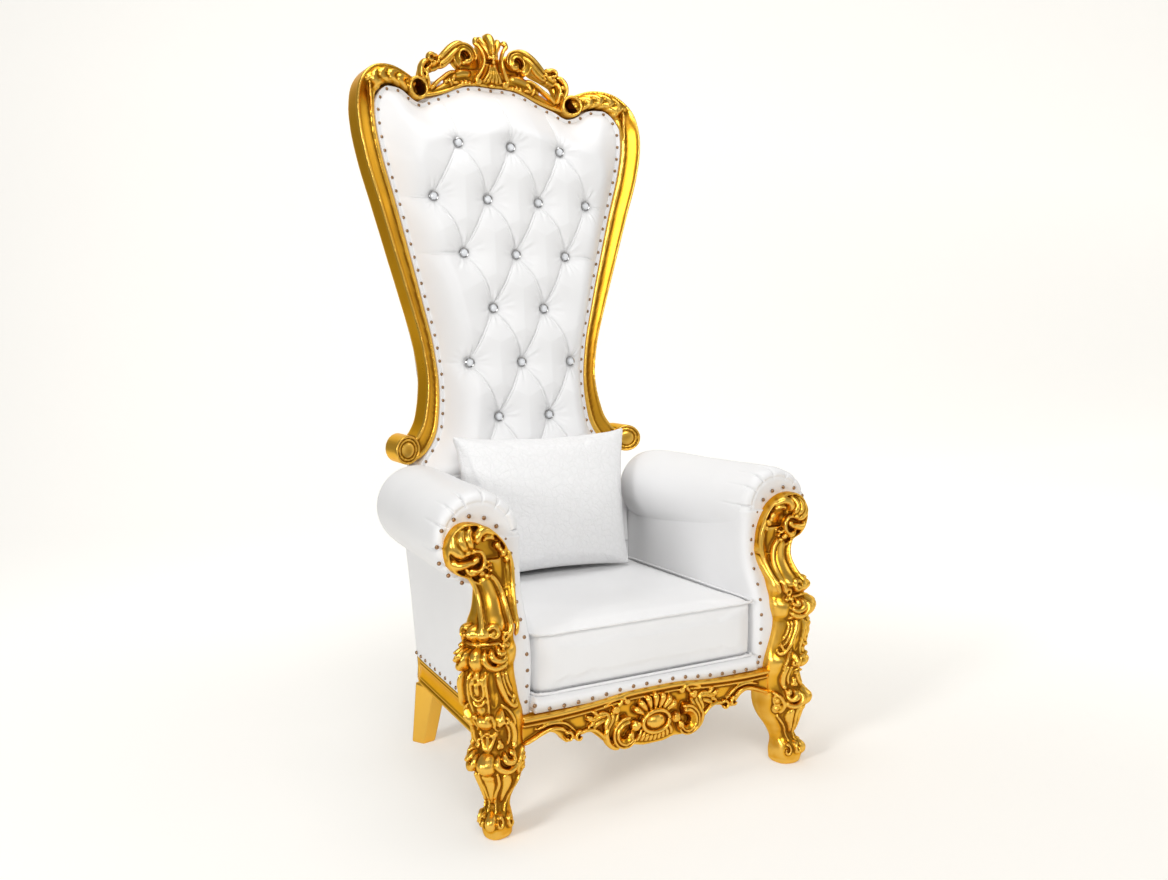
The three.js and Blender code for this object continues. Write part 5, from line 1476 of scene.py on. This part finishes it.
class Value:
    """A shader number: arithmetic on it adds Math nodes to its tree."""

    def __init__(self, finish, socket):
        self.finish, self.socket = finish, socket

    def math(self, operation, *others):
        """One Math node on this number and others."""
        node = self.finish.node("ShaderNodeMath", {"operation": operation}, dict(enumerate((self,) + others)))
        return Value(self.finish, node.outputs[0])

    def __add__(self, other):
        return self.math("ADD", other)

    def __sub__(self, other):
        return self.math("SUBTRACT", other)

    def __mul__(self, other):
        return self.math("MULTIPLY", other)

    def __truediv__(self, other):
        return self.math("DIVIDE", other)

    def __pow__(self, other):
        return self.math("POWER", other)

    __radd__, __rmul__ = __add__, __mul__

    def __rsub__(self, other):
        return self.finish.number(other).math("SUBTRACT", self)

    def __rtruediv__(self, other):
        return self.finish.number(other).math("DIVIDE", self)

    def between(self, low, high):
        """0 at low, 1 at high, eased."""
        node = self.finish.node("ShaderNodeMapRange", {"interpolation_type": "SMOOTHSTEP"},
                                {0: self, 1: low, 2: high, 3: 0.0, 4: 1.0})
        return Value(self.finish, node.outputs[0])


class Finish:
    """A material in the making: one Principled shader and the nodes that feed it."""

    def __init__(self, name, **uniform):
        self.material = bpy.data.materials.new(name)
        self.material.use_nodes = True
        self.tree = self.material.node_tree
        self.tree.nodes.clear()
        self.shader = self.node("ShaderNodeBsdfPrincipled", {},
                                {k.replace("_", " "): v for k, v in uniform.items()})
        self.node("ShaderNodeOutputMaterial", {}, {"Surface": self.shader.outputs[0]})
        self.place = self.node("ShaderNodeTexCoord", {}, {}).outputs["Object"]

    def node(self, kind, settings, sockets):
        """A node with its settings made and its sockets linked or set."""
        node = self.tree.nodes.new(kind)
        for key, value in settings.items():
            setattr(node, key, value)
        for key, value in sockets.items():
            if isinstance(value, Value):
                value = value.socket
            if isinstance(value, bpy.types.NodeSocket):
                self.tree.links.new(value, node.inputs[key])
            else:
                node.inputs[key].default_value = value
        return node

    def number(self, value):
        """A plain number as a shader number."""
        node = self.node("ShaderNodeValue", {}, {})
        node.outputs[0].default_value = value
        return Value(self, node.outputs[0])

    def noise(self, scale, detail=3.0, rough=0.5):
        """Cloudy noise over the object."""
        node = self.node("ShaderNodeTexNoise", {},
                         {"Vector": self.place, "Scale": scale, "Detail": detail, "Roughness": rough})
        return Value(self, node.outputs["Fac"])

    def cells(self, scale, feature="F1", place=None):
        """Distance in a pattern of cells."""
        node = self.node("ShaderNodeTexVoronoi", {"feature": feature},
                         {"Vector": place or self.place, "Scale": scale})
        return Value(self, node.outputs["Distance"])

    def stored(self, name):
        """A value stored on the mesh's points."""
        return Value(self, self.node("ShaderNodeAttribute", {"attribute_name": name}, {}).outputs["Fac"])

    def blend(self, factor, a, b):
        """Colour a at 0, colour b at 1."""
        node = self.node("ShaderNodeMix", {"data_type": "RGBA"}, {0: factor, 6: a, 7: b})
        return node.outputs[2]

    def feed(self, **inputs):
        """Link varying values to the shader's sockets."""
        for key, value in inputs.items():
            if isinstance(value, Value):
                value = value.socket
            self.tree.links.new(value, self.shader.inputs[key.replace("_", " ")])

    def bumped(self, height, distance, strength=1.0, after=None):
        """A normal bumped by a height, over an earlier bump if there is one."""
        sockets = {"Height": height, "Distance": distance, "Strength": strength}
        if after:
            sockets["Normal"] = after
        return self.node("ShaderNodeBump", {}, sockets).outputs[0]


def rgba(colour):
    """Three parts of a colour with full alpha."""
    return (*colour, 1.0)


def gold_leaf(look):
    """Satin gilding: browner in the hollows as painted shade, faintly uneven, paler on the crowns as painted
    highlight, lacquered.
    """
    f = Finish("gold_leaf", Metallic=1.0, Specular_Tint=(0.92, 0.72, 0.36, 1), Coat_Weight=0.06,
               Coat_Roughness=0.16, Coat_IOR=1.45)
    hollow = f.stored("hollow")
    cloud = f.noise(7.0, 3.0)
    speck = f.noise(220.0, 3.0, 0.6)
    # painted shade: the gilding turns browner where the surface lies in a hollow
    deep = (hollow + (cloud - 0.5) * 0.16 + (speck - 0.5) * 0.06).between(0.54, 0.99)
    # painted highlight: the gilding turns paler on the convex crowns
    crown = (hollow + (cloud - 0.5) * 0.2).between(0.50, 0.10)
    tone = f.blend(cloud.between(0.35, 0.7), rgba(look.gold),
                   rgba([c * k for c, k in zip(look.gold, (0.94, 0.90, 0.82))]))
    lit = f.blend(crown * 0.6, tone, rgba(look.gold_painted_highlight))
    f.feed(Base_Color=f.blend(deep * 0.92, lit, rgba(look.gold_painted_shade)),
           Roughness=0.29 + deep * 0.18 + (speck - 0.5) * 0.04 + (cloud - 0.5) * 0.06)
    grain = f.bumped(f.noise(900.0, 2.0), 0.00008, 0.25)
    f.feed(Normal=f.bumped(f.noise(34.0, 2.0), 0.00035, 0.25, grain))
    return f.material


def leather(look):
    """Smooth white hide: a fine pebbled grain and faint clouding; a coat roughness is set, but no coat
    weight.
    """
    f = Finish("white_hide", Specular_IOR_Level=0.42, Coat_Roughness=0.35)
    cloud = f.noise(5.0, 3.0)
    grain = f.cells(620.0)
    pores = f.noise(1500.0, 2.0)
    f.feed(Base_Color=f.blend(cloud.between(0.3, 0.72), rgba(look.hide),
                              rgba([c * 0.972 for c in look.hide])),
           Roughness=0.42 + (cloud - 0.5) * 0.08 + grain * 0.06)
    fine = f.bumped(pores, 0.0001, 0.3)
    f.feed(Normal=f.bumped(grain, 0.00025, 0.35, fine))
    return f.material


def outer_cloth(look):
    """The plainer backing hide: the same white, with a duller, slightly coarser grain."""
    f = Finish("outer_hide", Specular_IOR_Level=0.35)
    cloud = f.noise(4.0, 3.0)
    grain = f.cells(420.0)
    f.feed(Base_Color=f.blend(cloud.between(0.3, 0.75), rgba([c * 0.985 for c in look.hide]),
                              rgba([c * 0.95 for c in look.hide])),
           Roughness=0.50 + grain * 0.08 + (cloud - 0.5) * 0.08)
    f.feed(Normal=f.bumped(grain, 0.0004, 0.4))
    return f.material


def crackled_cloth(look):
    """Matt white pillow cloth with a crushed, crackled face and a fine weave."""
    f = Finish("crackled_cloth", Specular_IOR_Level=0.25, Sheen_Weight=0.15, Sheen_Roughness=0.5)
    warp = f.noise(18.0, 4.0, 0.6)
    bent = f.node("ShaderNodeVectorMath", {"operation": "ADD"},
                  {0: f.place, 1: f.node("ShaderNodeVectorMath", {"operation": "SCALE"},
                                         {0: f.node("ShaderNodeTexNoise", {},
                                                    {"Vector": f.place, "Scale": 22.0,
                                                     "Detail": 3.0}).outputs["Color"],
                                          "Scale": 0.035}).outputs[0]}).outputs[0]
    crack = f.cells(52.0, "DISTANCE_TO_EDGE", bent).between(0.0, 0.16)
    small = f.cells(110.0, "DISTANCE_TO_EDGE", bent).between(0.0, 0.16)
    weave = f.noise(900.0, 2.0)
    shade = crack * 0.6 + small * 0.4
    # the cracks are coloured darker: painted shade in the creases
    f.feed(Base_Color=f.blend(shade, rgba([c * 0.955 for c in look.pillow]), rgba(look.pillow)),
           Roughness=0.62 + (warp - 0.5) * 0.12)
    first = f.bumped(weave, 0.0002, 0.4)
    f.feed(Normal=f.bumped(shade + warp * 0.8, 0.0015, 0.5, first))
    return f.material


def bronze(look):
    """Dark, rubbed bronze of the nail heads."""
    f = Finish("nail_bronze", Metallic=1.0)
    worn = f.noise(420.0, 3.0)
    f.feed(Base_Color=f.blend(worn.between(0.4, 0.7), rgba(look.bronze),
                              rgba([c * 1.8 for c in look.bronze])),
           Roughness=0.22 + worn * 0.16)
    return f.material


def silver_rim(look):
    """Polished pale metal that holds a stone."""
    f = Finish("button_rim", Metallic=1.0)
    haze = f.noise(300.0, 2.0)
    f.feed(Base_Color=f.blend(haze, rgba((0.34, 0.34, 0.35)), rgba((0.62, 0.62, 0.61))),
           Roughness=0.14 + haze * 0.10)
    return f.material


def crystal(look):
    """Clear cut glass, greyed in patches as painted reflection of dark facets."""
    f = Finish("crystal", Transmission_Weight=0.75, IOR=1.7)
    cloud = f.noise(90.0, 2.0)
    # the grey patches in the glass's colour are painted reflection
    f.feed(Base_Color=f.blend(cloud.between(0.42, 0.60), rgba((0.42, 0.43, 0.46)), rgba((0.99, 0.99, 1.0))),
           Roughness=0.02 + cloud * 0.03)
    return f.material


def studio_floor(stage):
    """Matt pale paper that glows with painted light, dimmer near the throne as painted shade, so that shadows
    lie there.
    """
    f = Finish("studio_paper", Specular_IOR_Level=0.03, Emission_Strength=stage.paper_light)
    cloud = f.noise(1.5, 2.0)
    far = f.node("ShaderNodeVectorMath", {"operation": "DISTANCE"},
                 {0: f.place, 1: (0.1, -1.1, 0.0)}).outputs["Value"]
    tone = f.blend(cloud, rgba(stage.paper), rgba([c * 0.992 for c in stage.paper]))
    # painted shade: the paper's glow is dimmer near the throne
    near = rgba([c * k for c, k in zip(stage.paper, (0.40, 0.395, 0.39))])
    painted_glow = f.blend(Value(f, far).between(0.6, 3.4), near, tone)
    f.feed(Base_Color=f.blend(0.25, tone, rgba((0, 0, 0))), Emission_Color=painted_glow,
           Roughness=0.85 + cloud * 0.05)
    return f.material


MAKERS = {"gold_leaf": gold_leaf, "white_hide": leather, "outer_hide": outer_cloth,
          "crackled_cloth": crackled_cloth, "nail_bronze": bronze, "button_rim": silver_rim,
          "crystal": crystal}


def finish(name):
    """The material of that name, made the first time it is asked for."""
    return bpy.data.materials.get(name) or MAKERS[name](bpy.context.scene.throne_finishes)


def placed(obj, slot, *nodes):
    """A piece that stands for CAD nodes: attached to the root body, with those nodes hidden; its slot is not
    used.
    """
    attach(obj, "root")
    if nodes:
        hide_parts(*nodes)
    return obj


# ---- what a user may change ------------------------------------------------------------------


def metres(name, description, default, low, high):
    """A length a user may change."""
    return bpy.props.FloatProperty(name=name, description=description, default=default, min=low, max=high,
                                   unit="LENGTH", subtype="DISTANCE", precision=4)


def colour(name, description, default):
    """A colour a user may change."""
    return bpy.props.FloatVectorProperty(name=name, description=description, default=default, min=0, max=4,
                                         size=3, subtype="COLOR")


CAMERA_AT = (-1.2312, -2.2967, 1.0119)
CAMERA_DIP, CAMERA_TURN = 5.7681, 29.6412      # degrees below level and to the right
CAMERA_LENS = 32.263                          # mm on a 36 mm sensor


class ThroneFinishes(bpy.types.PropertyGroup):
    gold: colour("Gold", "Gilding on the broad faces", (0.80, 0.405, 0.030))
    # the crowns colour is painted highlight on the gilding's convex parts, not wear
    gold_painted_highlight: colour("Gold crowns", "Gilding where it is rubbed bright", (0.97, 0.62, 0.13))
    # the hollows colour is painted shade in the gilding's recesses
    gold_painted_shade: colour("Gold hollows", "Gilding in the recesses", (0.23, 0.088, 0.004))
    hide: colour("Hide", "White upholstery", (0.846, 0.847, 0.853))
    pillow: colour("Pillow", "Pillow cloth", (0.865, 0.866, 0.872))
    bronze: colour("Nails", "Nail heads", (0.27, 0.165, 0.09))


class ThroneSizes(bpy.types.PropertyGroup):
    post_cell: metres("Post detail", "Cell size of the posts' skin", 0.00215, 0.001, 0.005)
    stile_cell: metres("Stile detail", "Cell size of the stiles' skin", 0.0024, 0.001, 0.005)
    crest_cell: metres("Crest detail", "Cell size of the crest's skin", 0.00178, 0.001, 0.005)
    apron_cell: metres("Apron detail", "Cell size of the apron's skin", 0.00162, 0.001, 0.005)
    nail_gap: metres("Nail spacing", "Distance between nail heads", 0.034, 0.01, 0.06)


class ThroneStage(bpy.types.PropertyGroup):
    paper: colour("Paper", "Floor and backdrop", (0.99, 0.972, 0.93))
    paper_light: bpy.props.FloatProperty(name="Paper light",
                                         description="How brightly the paper is lit from within",
                                         default=0.645, min=0, max=2)
    surround: bpy.props.FloatProperty(name="Surround", description="Brightness of the room round the stage",
                                      default=0.30, min=0, max=5)
    key: bpy.props.FloatProperty(name="Key", description="Power of the main light", default=92, min=0,
                                 max=2000, unit="POWER")


# ---- operators ----------------------------------------------------------------------------------


class THRONE_OT_posts(bpy.types.Operator):
    """Carve the two front posts with their volutes"""
    bl_idname = "throne.posts"
    bl_label = "Front posts"

    def execute(self, context):
        right = skin(post_shapes(), context.scene.throne_sizes.post_cell)
        for name, shape in (("front_post_right", right), ("front_post_left", mirrored(right))):
            placed(carved(name + "_carved", shape, finish("gold_leaf")), "gilt", name)
        return {"FINISHED"}


class THRONE_OT_stiles(bpy.types.Operator):
    """Shape the two moulded sides of the back"""
    bl_idname = "throne.stiles"
    bl_label = "Back stiles"

    def execute(self, context):
        right = skin(stile_shapes(), context.scene.throne_sizes.stile_cell)
        for name, shape in (("back_stile_right", right), ("back_stile_left", mirrored(right))):
            placed(carved(name + "_moulded", shape, finish("gold_leaf")), "gilt", name)
        return {"FINISHED"}


class THRONE_OT_crest(bpy.types.Operator):
    """Carve the pierced crest"""
    bl_idname = "throne.crest"
    bl_label = "Crest"

    def execute(self, context):
        shape = skin(crest_shapes(), context.scene.throne_sizes.crest_cell)
        placed(carved("back_crest_carved", shape, finish("gold_leaf")), "gilt", "back_crest")
        return {"FINISHED"}


class THRONE_OT_apron(bpy.types.Operator):
    """Carve the front apron"""
    bl_idname = "throne.apron"
    bl_label = "Front apron"

    def execute(self, context):
        shape = skin(apron_shapes(), context.scene.throne_sizes.apron_cell)
        placed(carved("front_apron_carved", shape, finish("gold_leaf")), "gilt", "front_apron")
        return {"FINISHED"}


class THRONE_OT_rails(bpy.types.Operator):
    """Run the beaded side and rear rails"""
    bl_idname = "throne.rails"
    bl_label = "Rails"

    def execute(self, context):
        right = joined(side_rail_shapes())
        for name, shape in (("side_rail_right", right), ("side_rail_left", mirrored(right))):
            placed(carved(name + "_beaded", shape, finish("gold_leaf")), "gilt", name)
        placed(carved("rear_rail_beaded", joined(rear_rail_shapes()), finish("gold_leaf")), "gilt",
               "rear_rail")
        return {"FINISHED"}


class THRONE_OT_rear_legs(bpy.types.Operator):
    """Shape the raked rear legs"""
    bl_idname = "throne.rear_legs"
    bl_label = "Rear legs"

    def execute(self, context):
        right = joined(rear_leg_shapes())
        for name, shape in (("rear_leg_right", right), ("rear_leg_left", mirrored(right))):
            placed(carved(name + "_shaped", shape, finish("gold_leaf")), "gilt", name)
        return {"FINISHED"}


class THRONE_OT_back_pad(bpy.types.Operator):
    """Tuft the padded back"""
    bl_idname = "throne.back_pad"
    bl_label = "Tufted back"

    def execute(self, context):
        pad = placed(piece("back_pad", joined([pad_shape()] + pleat_cords()), finish("white_hide")),
                     "white_leather", "back_panel")
        return {"FINISHED"}


class THRONE_OT_back_cover(bpy.types.Operator):
    """Stretch the plain outer back"""
    bl_idname = "throne.back_cover"
    bl_label = "Outer back"

    def execute(self, context):
        cover = placed(piece("outer_back", cover_shape(), finish("outer_hide")), "white_leather",
                       "back_cover")
        return {"FINISHED"}


class THRONE_OT_arms(bpy.types.Operator):
    """Pad the two arms"""
    bl_idname = "throne.arms"
    bl_label = "Arms"

    def execute(self, context):
        right = arm_shape()
        for name, shape in (("arm_right", right), ("arm_left", mirrored(right))):
            arm = placed(piece(name + "_padded", shape, finish("white_hide")), "white_leather", name)
        return {"FINISHED"}


class THRONE_OT_seat(bpy.types.Operator):
    """Cover the seat platform and lay the loose cushion on it"""
    bl_idname = "throne.seat"
    bl_label = "Seat"

    def execute(self, context):
        deck = placed(piece("deck_cover", deck_shape(), finish("white_hide")), "white_leather", "seat_deck")
        cushion = placed(piece("loose_cushion", cushion_shape(), finish("white_hide")), "white_leather",
                         "seat_cushion")
        placed(piece("cushion_welts", joined(welt_shapes()), finish("white_hide")), "white_leather")
        return {"FINISHED"}


class THRONE_OT_pillow(bpy.types.Operator):
    """Lean the pillow against the back"""
    bl_idname = "throne.pillow"
    bl_label = "Pillow"

    def execute(self, context):
        pillow = placed(piece("crackled_pillow", pillow_shape(), finish("crackled_cloth")), "pillow_cloth",
                        "pillow")
        return {"FINISHED"}


class THRONE_OT_nails(bpy.types.Operator):
    """Drive the rows of nails that hold the covers"""
    bl_idname = "throne.nails"
    bl_label = "Nails"

    def execute(self, context):
        gap = context.scene.throne_sizes.nail_gap
        for name, places, slot in (("back_nails", back_nails(gap), "white_leather"),
                                   ("seat_nails", rail_nails(gap), "white_leather")):
            placed(piece(name, nail_shapes(*places), finish("nail_bronze")), slot)
        right = nail_shapes(*arm_nails(gap))
        for name, shape in (("arm_right_nails", right), ("arm_left_nails", mirrored(right))):
            placed(piece(name, shape, finish("nail_bronze")), "white_leather")
        return {"FINISHED"}


class THRONE_OT_buttons(bpy.types.Operator):
    """Set a crystal button at every crossing of the pleats"""
    bl_idname = "throne.buttons"
    bl_label = "Buttons"

    def execute(self, context):
        names = sorted(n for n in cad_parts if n.startswith("button_"))
        if not names:
            raise RuntimeError("the packed model has no buttons")
        for name in names:
            low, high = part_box(name)
            middle = (low + high) / 2
            metal, stone = button_shapes(middle.x, high.y - SHIFT, middle.z)
            shape = joined([metal, stone])
            obj = piece(name + "_stone", shape, finish("button_rim"), smooth=False)
            obj.data.materials.append(finish("crystal"))
            obj.data.polygons.foreach_set("material_index", stone_faces(metal, stone))
            placed(obj, "crystal", name)
        return {"FINISHED"}


def stone_faces(metal, stone):
    """1 for each face of the stone, 0 for the metal's, in the order of a joined shape's faces."""
    return np.concatenate([np.zeros(len(metal[1])), np.ones(len(stone[1])), np.zeros(len(metal[2])),
                           np.ones(len(stone[2]))]).astype(np.int32)


class THRONE_OT_stage(bpy.types.Operator):
    """Set the pale floor, the camera and the soft lights"""
    bl_idname = "throne.stage"
    bl_label = "Stage"

    def execute(self, context):
        stage, scene = context.scene.throne_stage, context.scene
        # paper that runs back level and then curves up behind
        run = np.linspace(0, 1, 60)
        y = np.concatenate([np.linspace(-1.6, 4.0, 20), 4.0 + 3.0 * np.sin(run[1:] * PI / 2),
                            np.full(6, 7.0)])
        z = np.concatenate([np.zeros(20), 3.0 - 3.0 * np.cos(run[1:] * PI / 2), np.linspace(3.4, 9, 6)])
        x = np.array([-1.6, 6.0, 40.0])
        grid = np.stack([np.repeat(x[None], len(y), 0), np.repeat(y[:, None], 3, 1),
                         np.repeat(z[:, None], 3, 1)], -1)
        paper = piece("studio_paper", plate(grid, grid - [0, -0.02, 0.02]), studio_floor(stage))
        world = bpy.data.worlds.new("studio")
        world.use_nodes = True
        warm_white = [stage.surround * k for k in (1.0, 0.985, 0.96)]
        world.node_tree.nodes["Background"].inputs[0].default_value = rgba(warm_white)
        scene.world = world
        for name, at, aim, size, power, tint in (
            ("key", (-1.5, -4.2, 3.4), (0, 0, 0.9), 2.2, stage.key * 1.05, (1, 0.99, 0.975)),
            ("front", (2.4, -3.7, 1.3), (0, 0, 0.9), 2.6, stage.key * 0.16, (1, 1, 1)),
            ("fill", (3.9, -1.2, 2.5), (0, 0, 0.9), 1.8, stage.key * 0.17, (1, 1, 1)),
            ("top", (0.2, 0.0, 4.4), (0, 0, 0.8), 2.0, stage.key * 0.60, (1, 1, 1)),
            ("side", (-3.6, -1.6, 1.5), (0, 0, 0.6), 0.8, stage.key * 0.50, (1, 1, 1)),
        ):
            lamp = bpy.data.lights.new(name, "AREA")
            lamp.size, lamp.energy, lamp.color = size, power, tint
            obj = bpy.data.objects.new(name, lamp)
            obj.location = at
            obj.rotation_euler = (Vector(aim) - Vector(at)).to_track_quat("-Z", "Y").to_euler()
            scene.collection.objects.link(obj)
        view = bpy.data.cameras.new("camera")
        view.lens, view.sensor_width = CAMERA_LENS, 36.0
        camera = bpy.data.objects.new("camera", view)
        camera.location = CAMERA_AT
        camera.rotation_euler = (math.radians(90 - CAMERA_DIP), 0, math.radians(-CAMERA_TURN))
        scene.collection.objects.link(camera)
        scene.camera = camera
        scene.view_settings.view_transform = "Standard"
        return {"FINISHED"}


STEPS = (THRONE_OT_posts, THRONE_OT_stiles, THRONE_OT_crest, THRONE_OT_apron, THRONE_OT_rails,
         THRONE_OT_rear_legs, THRONE_OT_back_pad, THRONE_OT_back_cover, THRONE_OT_arms, THRONE_OT_seat,
         THRONE_OT_pillow, THRONE_OT_buttons, THRONE_OT_nails, THRONE_OT_stage)


class THRONE_PT_panel(bpy.types.Panel):
    """Lists the throne's pieces"""
    bl_label = "Throne"
    bl_idname = "THRONE_PT_panel"
    bl_space_type = "VIEW_3D"
    bl_region_type = "UI"
    bl_category = "Throne"

    def draw(self, context):
        for step in STEPS:
            self.layout.operator(step.bl_idname)
        for group in (context.scene.throne_finishes, context.scene.throne_sizes, context.scene.throne_stage):
            box = self.layout.box()
            for name in group.__annotations__:
                box.prop(group, name)


GROUPS = {"throne_finishes": ThroneFinishes, "throne_sizes": ThroneSizes, "throne_stage": ThroneStage}


def register():
    """Make the classes and settings known to Blender."""
    for name, group in GROUPS.items():
        bpy.utils.register_class(group)
        setattr(bpy.types.Scene, name, bpy.props.PointerProperty(type=group))
    for step in (*STEPS, THRONE_PT_panel):
        bpy.utils.register_class(step)


def unregister():
    """Take them away again."""
    for step in (THRONE_PT_panel, *reversed(STEPS)):
        bpy.utils.unregister_class(step)
    for name, group in GROUPS.items():
        delattr(bpy.types.Scene, name)
        bpy.utils.unregister_class(group)


def main():
    """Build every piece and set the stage."""
    register()
    bpy.ops.throne.posts()
    bpy.ops.throne.stiles()
    bpy.ops.throne.crest()
    bpy.ops.throne.apron()
    bpy.ops.throne.rails()
    bpy.ops.throne.rear_legs()
    bpy.ops.throne.back_pad()
    bpy.ops.throne.back_cover()
    bpy.ops.throne.arms()
    bpy.ops.throne.seat()
    bpy.ops.throne.pillow()
    bpy.ops.throne.buttons()
    bpy.ops.throne.nails()
    bpy.ops.throne.stage()


if __name__ == "__main__":
    main()
